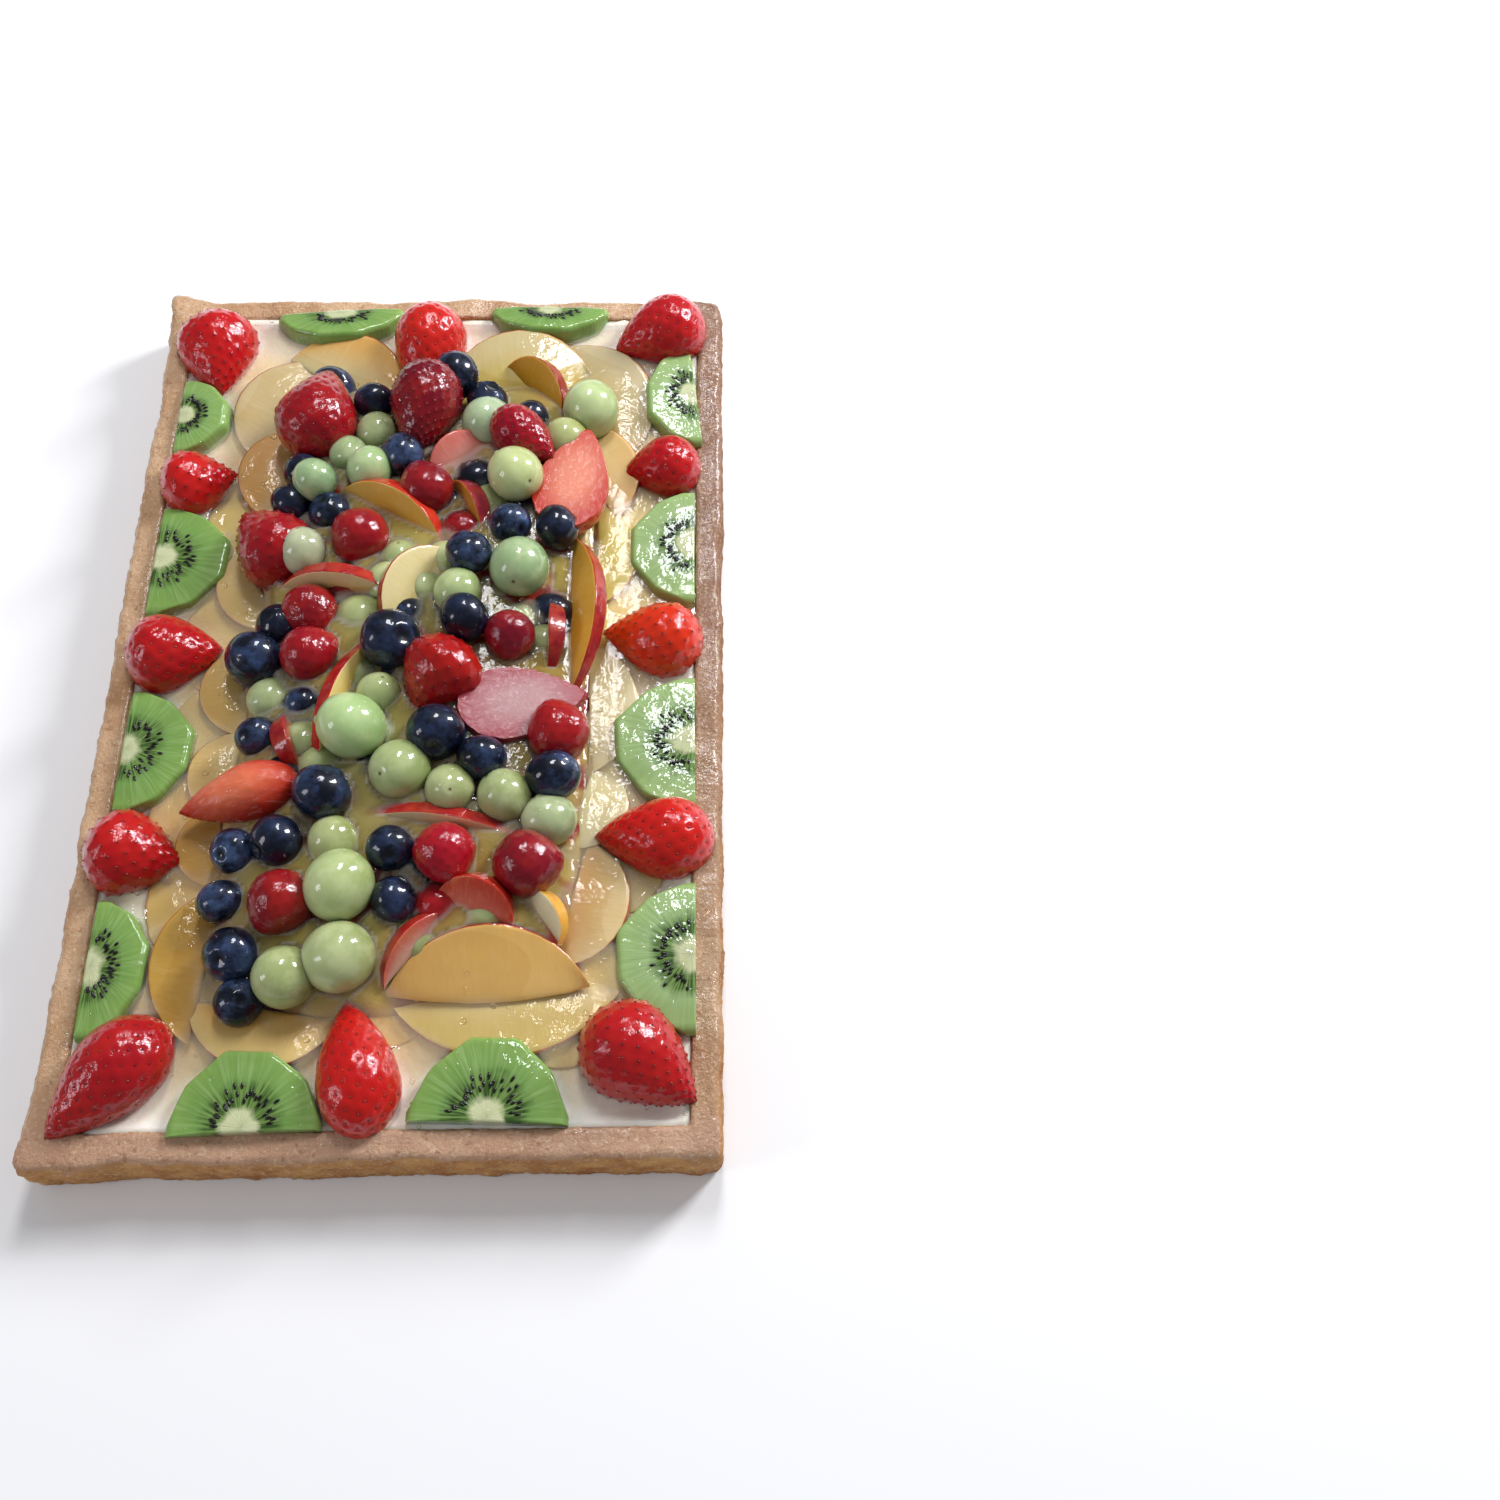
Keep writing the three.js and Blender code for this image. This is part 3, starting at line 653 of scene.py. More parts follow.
def makeKiwi(number, x, y, half, reach, heading, tilt, toneNumber):
    draw = random.Random(number)
    bevel, thickness, strokes = kiwi["bevel"], kiwi["thickness"], kiwi["strokes"]
    turned, soften = kiwi["round"], kiwi["soften"]
    corners = []
    for step in range(strokes + 1):
        angle = (step / strokes - 0.5) * math.pi
        uneven = 1.03 + 0.03 * math.sin(step * 2.3 + half)
        corners.append((max(reach * math.cos(angle) * uneven, 0.8), half * math.sin(angle) * uneven))
    low, high = corners[0][1], corners[-1][1]

    def topHeight(px, py):
        out = math.hypot(px / reach, py / half)
        bulge = noise.noise(Vector((px / 9, py / 9, number)))
        rim, core = smoothStep(out, 0.6, 1.0), 1 - smoothStep(out, 0.1, 0.3)
        return thickness + 0.35 * bulge - 0.5 * rim + 0.25 * core

    bm = bmesh.new()
    bmesh.ops.create_cube(bm, size=2)
    bmesh.ops.subdivide_edges(bm, edges=bm.edges, cuts=kiwi["cuts"], use_grid_fill=True)
    for vertex in bm.verts:
        share, along, up = ((value + 1) / 2 for value in vertex.co)
        py = low + (high - low) * along
        before, here, after = (peeledEdge(corners, py + step) for step in (-soften, 0, soften))
        edge = (before + 2 * here + after) / 4
        px = -bevel + (edge + bevel) * share
        inward = max(0.0, min((1 - share) * (edge + bevel), min(py - low, high - py) * 1.2, turned))
        drop = turned - math.sqrt(max(0.0, turned * turned - (turned - inward) ** 2))
        vertex.co = Vector((px, py, -bevel + (topHeight(px, py) - drop + bevel) * up)) * mm
    bmesh.ops.recalc_face_normals(bm, faces=bm.faces)
    paint(bm, spot=lambda vertex: (vertex.co.x / (reach * mm), vertex.co.y / (half * mm), 0),
          tone=colour(kiwi["tones"][toneNumber]), turn=(number * 3.7, 0, 0))
    body = len(bm.faces)
    inner, outer = kiwi["seedRing"]
    for seed in range(kiwi["seeds"]):
        angle = ((seed + draw.uniform(0.2, 0.8)) / kiwi["seeds"] - 0.5) * math.pi * 0.96
        out = draw.uniform(inner, outer) if seed % 2 else draw.uniform(inner, (inner + outer) / 2)
        px, py = math.cos(angle) * out * reach, math.sin(angle) * out * half
        spot = Vector((px, py, topHeight(px, py) + 0.05)) * mm
        turn = Matrix.Rotation(math.atan2(spot.y, spot.x), 4, "Z")
        addBlob(bm, spot, turn, (draw.uniform(0.85, 1.15) * mm, 0.45 * mm, 0.3 * mm))
    markFaces(bm, body, 1)
    place(bm, x, y, fruitFloor, (-tilt, "Y"), (heading, "Z"))
    return newPiece(bm, f"kiwiSlice{number}", kiwiGreen, seedBlack)


kiwiSlices = joinPieces("kiwiSlices", makeKiwi, kiwi["slices"])
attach(kiwiSlices, "root")
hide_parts(*[f"kiwi_{i + 1}" for i in range(len(kiwi["slices"]))])
print("kiwi slices made")


# Strawberries: turned bodies with a blunt tip, a seed in each pit
strawberry = {
    "sides": (96, 64), "smallSides": (72, 46), "pitSpacing": 3.5, "closeSpacing": 2.7, "pitDepth": 0.42,
    "pitRadius": 0.95, "seed": (0.5, 0.27, 0.2), "cutHeight": 2, "lift": 3,
    # middle x, y, length, width, heading of the tip, pitch of the tip, extra height, tone
    "rim": [(-80, 127, 34, 28, -80, 0, 0, "#b80f16"), (-7, 127, 36, 25, -98, 10, 3, "#c01a14"),
            (74, 136, 34, 26, 203, 4, 2, "#b0101a"), (-79, 72, 25, 23, 15, 0, 1, "#ba1014"),
            (-77, 6, 30, 26, 5, 0, 1, "#a80a14"), (-79, -62, 28, 26, -10, 0, 1, "#ae0b14"),
            (75, 78, 27, 22, 190, 0, 1, "#ac0a16"), (73, 11, 32, 25, 172, 0, 1, "#cc2c0e"),
            (74, -58, 36, 25, 178, 0, 1, "#be1512"), (-76, -129, 42, 25, -131, 0, 1, "#a00c18"),
            (-8, -126, 40, 23, 102, 0, 1, "#b81212"), (71, -125, 38, 28, -38, 0, 1, "#aa0f18")],
    # middle x, y, z, length, width, heading of the tip, pitch, kind, tone, pulp
    "heap": [(-39, 93, 31, 34, 27, 82, -6, "whole", "#8c0616", ""),
             (-4, 95, 32, 34, 24, 262, 6, "small", "#680418", ""),
             (30, 82, 33, 27, 17, -42, 0, "small", "#90061e", ""),
             (47, 66, 31, 42, 24, 78, 0, "cut", "#b83220", "#d97f62"),
             (-50, 43, 27, 31, 26, 132, 0, "whole", "#8e0616", ""),
             (8, -9, 32, 27, 25, 240, 12, "whole", "#980c0e", ""),
             (34, -17, 30, 40, 25, 12, 8, "cut", "#94303a", "#a87a78"),
             (-48, -47, 29, 36, 18, 196, 4, "wedge", "#b02c1a", "#d8704e")],
}


def bodySpot(length, width, cone, along, angle):
    # A point on the plain body, at a share of its length from the tip. A cone of 1 is round.
    radius = width / 2 * math.sqrt(max(0.0, math.sin(math.pi * min(1.0, max(0.0, along)) ** cone)))
    return Vector(((0.5 - along) * length, radius * math.cos(angle), radius * math.sin(angle)))


def pitSpots(length, width, spacing, cone):
    # Pits in a spiral, at even distances over the berry.
    count = int(math.pi * length * width * 0.78 / spacing ** 2)
    return [bodySpot(length, width, cone, (i + 0.6) / count, i * goldenAngle) * mm for i in range(count)]


def strawberryBody(bm, length, width, seed, sides, cone):
    bmesh.ops.create_uvsphere(bm, u_segments=sides[0], v_segments=sides[1], radius=1)
    shift = Vector((seed * 7.3, seed * 3.1, 0))
    for vertex in bm.verts:
        along, angle = (1 - vertex.co.z) / 2, math.atan2(vertex.co.y, vertex.co.x)
        spot = bodySpot(length, width, cone, along, angle)
        swell = 1 + 0.05 * noise.noise(spot / 11 + shift) + 0.015 * noise.noise(spot / 4 + shift)
        vertex.co = Vector((spot.x, spot.y * swell, spot.z * swell)) * mm
    bmesh.ops.recalc_face_normals(bm, faces=bm.faces)


def makeStrawberry(name, seed, length, width, kind, tone, pulp, *placing):
    bm = bmesh.new()
    cone = {"small": 1.4, "round": 1.12}.get(kind, 1.55)
    close = kind in ("small", "round")
    strawberryBody(bm, length, width, seed, strawberry["smallSides" if kind == "round" else "sides"], cone)
    spots = pitSpots(length, width, strawberry["closeSpacing" if close else "pitSpacing"], cone)
    tree = KDTree(len(spots))
    for i, spot in enumerate(spots):
        tree.insert(spot, i)
    tree.balance()
    bm.normal_update()
    depth = strawberry["pitDepth"] * (0.5 if kind in ("round", "wedge") else 1)
    dents = []
    for vertex in bm.verts:
        away = tree.find(vertex.co)[2] / mm
        dents.append(math.exp(-(away / strawberry["pitRadius"]) ** 2))
        vertex.co -= vertex.normal * (dents[-1] - 0.3) * depth * mm
    paint(bm, spot=lambda vertex: (0, 0, dents[vertex.index]), tone=colour(tone), pulp=colour(pulp or tone))
    surface = BVHTree.FromBMesh(bm)
    body = len(bm.faces)
    for spot in spots:
        near, normal, _, _ = surface.find_nearest(spot)
        if kind == "round" or kind in ("cut", "wedge") and near.z > 1.2 * mm:
            continue
        side = normal.cross(Vector((1, 0, 0))).normalized()
        forward = side.cross(normal)
        turn = Matrix((forward, side, normal)).transposed().to_4x4()
        addBlob(bm, near, turn, [size * mm for size in strawberry["seed"]], 1)
    markFaces(bm, body, 2)

    def cutSpot(vertex):
        return vertex.co.x / (length / 2 * mm), vertex.co.y / (width / 2 * mm), 0

    spotLayer = bm.verts.layers.float_vector["spot"]
    if kind == "wedge":
        bm.normal_update()
        for face in bm.faces[:body]:
            if face.normal.z > 0.1:
                face.material_index = 1
                for vertex in face.verts:
                    vertex[spotLayer] = cutSpot(vertex)
    if kind == "cut":
        cut = bmesh.ops.bisect_plane(bm, geom=bm.verts[:] + bm.edges[:] + bm.faces[:], dist=1e-6,
                                     plane_co=(0, 0, strawberry["cutHeight"] * mm), plane_no=(0, 0, 1),
                                     clear_outer=True)
        closed = fillOpen(bm, partsOf(cut["geom_cut"], bmesh.types.BMEdge))
        poked = bmesh.ops.poke(bm, faces=closed)["faces"]
        toneLayer, pulpLayer = bm.verts.layers.float_color["tone"], bm.verts.layers.float_color["pulp"]
        for face in poked:
            face.material_index = 1
        for vertex in {vertex for face in poked for vertex in face.verts}:
            vertex[spotLayer] = cutSpot(vertex)
            vertex[toneLayer], vertex[pulpLayer] = colour(tone), colour(pulp)
    place(bm, *placing)
    return newPiece(bm, name, berryRed, berryPulp, husk, flat=-1 if kind == "wedge" else 1)


def makeRimStrawberry(number, x, y, length, width, heading, pitch, lift, tone):
    height = fruitFloor + (strawberry["lift"] + lift) * mm
    return makeStrawberry(f"rimStrawberry{number}", number, length, width, "whole", tone, "",
                          x, y, height, (pitch, "Y"), (heading, "Z"))


def makeHeapStrawberry(number, x, y, z, length, width, heading, pitch, *look):
    return makeStrawberry(f"heapStrawberry{number}", number + 20, length, width, *look,
                          x, y, z * mm, (pitch, "Y"), (heading, "Z"))


rimStrawberries = joinPieces("rimStrawberries", makeRimStrawberry, strawberry["rim"])
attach(rimStrawberries, "root")
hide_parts(*[f"strawberry_{i + 1}" for i in range(len(strawberry["rim"]))])
heapStrawberries = joinPieces("heapStrawberries", makeHeapStrawberry, strawberry["heap"])
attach(heapStrawberries, "root")
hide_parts(*[f"heap_strawberry_{i + 1}" for i in range(len(strawberry["heap"]))])
print("strawberries made")


# Stone fruit slices: crescents with the skin on the outer arc
slices = {
    "cuts": 13, "beddedSkin": "#b8894c",
    # middle x, y, length, width, pit bulge, skin heading, lift, thin, thick, then the tones of the flesh at
    # the pit, of the flesh at the skin and of the skin
    "flat": [(-59, 108, 46, 22, -3, 148, 0, 3, 5.5, "#bdaa7c", "#c2ac7e", "#8a5230"),
             (-31, 124, 44, 21, -2, 62, 1.5, 3, 5, "#c6b686", "#c89a52", "#a05a34"),
             (-58, 79, 38, 17, -2, 165, 0, 3, 5.5, "#be965c", "#c69656", "#8e4526"),
             (-60, 29, 34, 15, 0, 200, 0, 3, 5, "#ccb478", "#cdb070", "#9c6a3a"),
             (-60, -7, 32, 16, 0, 185, 0, 3, 5, "#c8aa66", "#c8a45e", "#94603a"),
             (-59, -35, 30, 17, 0, 172, 0, 3, 5, "#cbb67a", "#cbae72", "#7c4824"),
             (-60, -60, 26, 15, 0, 190, 0, 3, 5, "#c89e54", "#c8984a", "#95542c"),
             (-60, -93, 50, 18, 2, 170, 0, 3, 6, "#bc9040", "#bd9442", "#9c5a2a"),
             (25, 125, 50, 24, -3, 94, 1.5, 3, 5.5, "#c2a850", "#c0b07e", "#94382a"),
             (58, 115, 54, 24, -3, 38, 0, 3, 5.5, "#bca86c", "#c0b088", "#87553a"),
             (59, 80, 42, 16, 0, 22, 1, 3, 6, "#dcc78c", "#d9b878", "#a2583a"),
             (61, 44, 40, 14, 0, 0, 0, 3, 5, "#cdbf62", "#d2c474", "#a88a44"),
             (61, -12, 46, 16, 0, 4, 0, 3, 5, "#d8cd9c", "#ddcfa4", "#b08a5c"),
             (58, -49, 26, 16, 0, -20, 0, 3, 5, "#d9cd9a", "#dacfa4", "#94643c"),
             (58, -80, 40, 18, 0, -14, 0, 3, 6, "#d4a664", "#d9c08c", "#985a34"),
             (-37, -118, 44, 17, -1, 262, 0, 3, 5, "#d2a550", "#d8bd7c", "#96221c"),
             (32, -115, 66, 19, -7, 272, 0, 3, 5, "#ccb880", "#c8b06c", "#a86a3c")],
    # thin slices bedded in the cream under the others: middle x, y, length, width, skin heading, flesh
    "bedDepth": 1.9, "bedded": [(-64, 56, 46, 24, 186, "#d8c07c"), (-66, 12, 42, 24, 178, "#dcc68a"),
                                (-64, -22, 40, 24, 190, "#dcc386"), (-66, -48, 38, 24, 170, "#d8b670"),
                                (-63, -76, 46, 24, 184, "#dcbc74"), (66, 62, 52, 26, 6, "#dcc67c"),
                                (66, 20, 48, 26, -4, "#dccb84"), (68, -30, 48, 24, 4, "#e0d296"),
                                (66, -62, 46, 26, -8, "#dcc684"), (60, -104, 46, 22, -24, "#dcc47c"),
                                (65, 96, 42, 22, 20, "#d8c48a"), (-8, -112, 52, 20, 270, "#d8bc74"),
                                (54, -116, 40, 18, 300, "#dcc688"), (-2, 122, 44, 20, 92, "#d6c288")],
    # middle x, y, z, length, width, pit bulge, skin heading, roll of the skin upwards, then the same on
    "heap": [(27, -96, 25, 58, 19, -3.5, 92, 12, 2, 5.5, "#dfb66c", "#d9ac60", "#8c1018"),
             (33, 112, 25, 30, 14, 2, 42, 40, 2, 6, "#cf9a20", "#d49a2c", "#7c0c14"),
             (-11, 54, 32, 44, 16, 3, 60, 48, 3, 7, "#dba83a", "#dcb050", "#bc2416"),
             (-26, 25, 31, 42, 14, 3, 84, 66, 3, 5.5, "#d48f30", "#dfc494", "#94101a"),
             (-3, 25, 33, 36, 17, 2, 152, 32, 3, 5.5, "#d8c484", "#dccb94", "#900f1c"),
             (-21, -15, 32, 50, 11, 3, 164, 54, 3, 5.5, "#d8b24a", "#dcc27a", "#a41a1c"),
             (51, 19, 29, 62, 17, 3, 2, 42, 3, 5, "#d0942c", "#d8a03c", "#8c0c18"),
             (11, -56, 29, 56, 11, 2, 82, 62, 3, 5, "#d2962e", "#dfc79c", "#94101c")],
}


def makeSlice(name, seed, length, width, bulge, thin, thick, pitTone, skinTone, skin, *placing, floor=True):
    bm = bmesh.new()
    bmesh.ops.create_cube(bm, size=2)
    bmesh.ops.subdivide_edges(bm, edges=bm.edges, cuts=slices["cuts"], use_grid_fill=True)
    half = length / 2
    radius = (half * half + width * width) / (2 * width)
    sweep = math.asin(min(1, half / radius))
    shift = Vector((seed * 5.7, seed * 1.9, 0))
    spots = [tuple(vertex.co) for vertex in bm.verts]
    for vertex in bm.verts:
        u, v, w = vertex.co
        turn = u * sweep * 0.985
        x = radius * math.sin(turn)
        middle = 1 - (x / half) ** 2
        taper = 0.45 + 0.55 * middle
        skinSide = width - radius * (1 - math.cos(turn)) - width / 2
        pitSide = min(bulge * middle - width / 2, skinSide - 0.6)
        share = (v + 1) / 2
        y = pitSide + (skinSide - pitSide) * share
        height = (thin + (thick - thin) * share ** 0.7) * taper
        flat = Vector((x, y, 0))
        uneven = 0.35 * noise.noise(flat / 9 + shift) + 0.12 * noise.noise(flat / 3 + shift)
        z = height * (w + 1) / 2 + (uneven if w > 0 else 0)
        if bulge < 0 and v < 0:
            y += min(1.0, -0.2 * bulge) * noise.noise(Vector((x * 0.45, 0, seed)))
        vertex.co = Vector((x, y, z)) * mm
    for _ in range(2):
        bmesh.ops.smooth_vert(bm, verts=bm.verts, factor=0.35,
                              use_axis_x=True, use_axis_y=True, use_axis_z=True)
    bmesh.ops.recalc_face_normals(bm, faces=bm.faces)
    first, second = colour(pitTone), colour(skinTone)
    paint(bm, spot=lambda vertex: spots[vertex.index], skin=colour(skin),
          tone=lambda vertex: mixTone(first, second, smoothStep(spots[vertex.index][1], -0.9, 0.7)))
    if not floor:
        bm.transform(Matrix.Translation((0, 0, -thick / 2 * mm)))
    place(bm, *placing)
    return newPiece(bm, name, slicedFruit)


def makeFlatSlice(number, x, y, length, width, bulge, heading, lift, *look):
    return makeSlice(f"peachSlice{number}", number, length, width, bulge, *look,
                     x, y, fruitFloor + lift * mm, (heading - 90, "Z"))


def makeBeddedSlice(number, x, y, length, width, heading, tone):
    look = (2, 2.6, tone, tone, slices["beddedSkin"])
    return makeSlice(f"beddedSlice{number}", number + 80, length, width, 0, *look,
                     x, y, fruitFloor - slices["bedDepth"] * mm, (heading - 90, "Z"))


def makeRolledSlice(number, x, y, z, length, width, bulge, heading, roll, *look):
    return makeSlice(f"nectarineSlice{number}", number + 40, length, width, bulge, *look,
                     x, y, z * mm, (roll, "X"), (heading - 90, "Z"), floor=False)


peachSlices = joinPieces("peachSlices", makeFlatSlice, slices["flat"],
                         [makeBeddedSlice(i + 1, *row) for i, row in enumerate(slices["bedded"])])
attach(peachSlices, "root")
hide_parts(*[f"peach_{i + 1}" for i in range(len(slices["flat"]))])
nectarineSlices = joinPieces("nectarineSlices", makeRolledSlice, slices["heap"])
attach(nectarineSlices, "root")
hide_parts(*[f"nectarine_{i + 1}" for i in range(len(slices["heap"]))])
print("stone fruit slices made")


# The heap: small fruit over a core of its own
heap = {
    "halfWidth": 53, "halfLength": 111, "rise": 12, "coreTone": "#8c7c34",
    # each x, y, z and size, then what is particular to it
    "blueberries": [
        (-38, 109, 24, 16), (-22, 100, 28, 14), (5, 110, 30, 17), (16, 101, 28, 14), (31, 94, 27, 13),
        (-43, 71, 28, 13), (-45, 58, 28, 14), (-32, 54, 29, 14), (-10, 75, 31, 16), (42, 46, 32, 15),
        (27, 48, 31, 14), (15, 34, 36, 15), (15, 10, 36, 16), (-7, 3, 35, 19), (-50, 0, 27, 19),
        (-44, 12, 28, 14), (-46, -27, 28, 13), (-33, -16, 27, 12), (9, -29, 34, 18),
        (23, -37, 33, 15), (44, -42, 31, 17), (-23, -48, 33, 18), (-35, -62, 30, 16), (-48, -64, 27, 14),
        (-50, -79, 26, 14), (-45, -95, 26, 16), (-42, -108, 23, 14), (-2, -65, 31, 14), (0, -80, 29, 14),
    ],
    "grapes": [
        (51, 98, 27, 19, "#a9b87c"), (17, 91, 29, 17, "#8ba283"), (43, 84, 27, 16, "#97954a"),
        (28, 65, 35, 18, "#b3b878"), (-37, 64, 33, 14, "#6f9166"), (-20, 69, 32, 15, "#90a872"),
        (-28, 77, 29, 13, "#7c8c5c"), (-20, 87, 28, 14, "#7d7f50"), (-38, 37, 32, 15, "#a3a088"),
        (31, 30, 34, 19, "#7f9a6c"), (12, 21, 33, 15, "#8b9a5c"), (-44, -13, 25, 14, "#7f8653"),
        (-10, -14, 30, 14, "#8d9456"), (-16, -27, 35, 20, "#9fbc78"), (-1, -40, 32, 18, "#8a9455"),
        (14, -46, 31, 15, "#8c9054"), (30, -48, 30, 16, "#83884c"), (43, -55, 28, 16, "#949c74"),
        (-15, -77, 33, 20, "#a3b06e"), (-14, -97, 29, 20, "#9ca268"), (-29, -102, 27, 18, "#868c48"),
        (-19, -62, 29, 15, "#8f9250"),
    ],
    "redBerries": [
        (-1, 61, 33, 18, "#74051a"), (-21, 43, 31, 19, "#86081a"), (-34, 16, 29, 18, "#7c0a16"),
        (-32, 0, 31, 18, "#8c0a1a"), (29, 5, 33, 16, "#6e0a1e"), (45, -27, 31, 19, "#8c0a18"),
        (-32, -81, 30, 19, "#7c0a16"), (14, -67, 32, 18, "#9c0a20"), (38, -70, 31, 20, "#70051c"),
    ],
    "bits": [  # x, y, z, length, width, skin heading, roll, thin, thick, flesh, flesh, skin
        (8, 77, 29, 26, 15, 130, 20, 3, 7, "#cf9a8c", "#c46a5e", "#ae3a34"),
        (24, -80, 31, 24, 13, 70, 30, 3, 8, "#d2705a", "#c2402c", "#b01c18"),
        (43, -83, 28, 20, 9, 40, 30, 3, 7, "#e2dcae", "#e6e0b8", "#d8a83c"),
        (6, -92, 28, 30, 9, 140, 40, 3, 6, "#d0a49a", "#c25a4c", "#a81c1c"),
        (13, 57, 31, 24, 10, 30, 50, 3, 7, "#c88428", "#cc8a2c", "#8c1c34"),
        (-35, -29, 30, 20, 11, 200, 60, 3, 6, "#c49a6a", "#9c1018", "#8c0c18"),
        (42, 8, 32, 24, 8, 0, 62, 3, 6, "#d29a3c", "#d8a850", "#7c0c1c"),
    ],
    "bloom": ["#2c3c5e", "#3a4f76", "#22304e", "#4a6088"],
    # the lower fruit: rows and columns of places, their steps, how far they wander, sizes and tones
    "places": (20, 9), "steps": (12.2, 10.8), "wander": 2, "lowSizes": (12.5, 15.5), "sunk": 0.7,
    "lowGrapes": ["#959c5c", "#8c9258", "#a3a866"], "lowBerries": ["#7c0a18", "#980c1c"],
}


def randomTurn(draw, most=180.0):
    axis = Vector((draw.uniform(-1, 1), draw.uniform(-1, 1), draw.uniform(-0.3, 0.3))).normalized()
    return Matrix.Rotation(math.radians(draw.uniform(0.15, 1) * most), 4, axis)


def makeBlueberry(number, x, y, z, size):
    # A slightly flat ball with a starred crown in a shallow dish.
    draw = random.Random(number)
    bm = bmesh.new()
    bmesh.ops.create_uvsphere(bm, u_segments=30, v_segments=22, radius=1)
    marks = []
    for vertex in bm.verts:
        fromPole = math.acos(max(-1.0, min(1.0, vertex.co.z)))
        angle = math.atan2(vertex.co.y, vertex.co.x)
        fromPole = math.pi * (fromPole / math.pi) ** 1.45
        star = 0.75 + 0.25 * math.cos(5 * angle)
        dish = -0.13 * math.exp(-(fromPole / 0.26) ** 2)
        points = 0.075 * star * math.exp(-((fromPole - 0.38) / 0.075) ** 2)
        out = math.sin(fromPole)
        spot = Vector((out * math.cos(angle), out * math.sin(angle), math.cos(fromPole)))
        radius = 1 + dish + points + 0.03 * noise.noise(spot * 1.5 + Vector((number, 0, 0)))
        marks.append(math.exp(-(fromPole / 0.3) ** 2))
        vertex.co = spot * radius * size / 2 * mm
        vertex.co.z *= 0.9
    paint(bm, spot=lambda vertex: (0, 0, marks[vertex.index]), tone=colour(heap["bloom"][draw.randrange(4)]))
    bm.transform(randomTurn(draw, 120))
    place(bm, x, y, z * mm)
    return newPiece(bm, f"blueberry{number}", navySkin)


def makeGrape(number, x, y, z, size, tone):
    # A ball drawn out a little towards the stalk, with a scar there.
    draw = random.Random(number + 100)
    bm = bmesh.new()
    bmesh.ops.create_uvsphere(bm, u_segments=30, v_segments=20, radius=1)
    marks = []
    for vertex in bm.verts:
        fromPole = math.acos(max(-1.0, min(1.0, vertex.co.z)))
        marks.append(math.exp(-(fromPole / 0.11) ** 2))
        uneven = 1 + 0.03 * noise.noise(vertex.co + Vector((number * 3, 0, 0))) - 0.05 * marks[-1]
        vertex.co = vertex.co * uneven * size / 2 * mm
        vertex.co.z *= 1.06
    bm.transform(randomTurn(draw))
    # Painted glow and shade: the tone is paler on the side away from the window, as if light gathered inside,
    # and darker on the side towards the window and underneath.
    deep = mixTone(colour(tone), colour("#5a7434"), 0.3)
    pale = mixTone(colour(tone), colour("#dcecb8"), 0.3)
    paintedGlow = Vector((-0.5, -0.5, 0.7)) / (size / 2 * mm)  # light gathers on the side away from the window
    paint(bm, spot=lambda vertex: (0, 0, marks[vertex.index]),
          tone=lambda vertex: mixTone(deep, pale, smoothStep(vertex.co.dot(paintedGlow), -0.5, 1.0)))
    place(bm, x, y, z * mm)
    return newPiece(bm, f"grape{number}", grapeGreen)


def makeRedBerry(number, x, y, z, size, tone):
    # A small round berry without seeds.
    draw = random.Random(number + 200)
    turns = ((draw.uniform(-25, 25), "Y"), (draw.uniform(0, 360), "Z"))
    return makeStrawberry(f"redBerry{number}", number + 200, size * 1.04, size, "round", tone, "",
                          x, y, z * mm, *turns)


def makeBit(number, x, y, z, length, width, heading, roll, *look):
    return makeSlice(f"cutPiece{number}", number + 60, length, width, 1.5, *look,
                     x, y, z * mm, (roll, "X"), (heading - 90, "Z"), floor=False)


def coreHeight(x, y):
    # Height of the core's top above the cream, in millimetres.
    out = (abs(x / heap["halfWidth"]) ** 5 + abs(y / heap["halfLength"]) ** 5) ** 0.2
    return heap["rise"] * math.sqrt(max(0.0, 1 - out * out)) if out < 1 else 0.0


def makeCore():
    bm = bmesh.new()
    bmesh.ops.create_uvsphere(bm, u_segments=64, v_segments=24, radius=1)
    for vertex in bm.verts:
        angle = math.atan2(vertex.co.y, vertex.co.x)
        square = (abs(math.cos(angle)) ** 5 + abs(math.sin(angle)) ** 5) ** -0.2
        x, y = vertex.co.x * square * heap["halfWidth"], vertex.co.y * square * heap["halfLength"]
        z = max(vertex.co.z, 0) * heap["rise"] + 0.8 * noise.noise(Vector((x, y, 0)) / 9)
        vertex.co = Vector((x * mm, y * mm, fruitFloor + (z - 0.6 * (vertex.co.z < 0.01)) * mm)) + fruitShift
    bmesh.ops.recalc_face_normals(bm, faces=bm.faces)
    paint(bm, tone=colour(heap["coreTone"]))
    return newPiece(bm, "heapCore", setJuice)


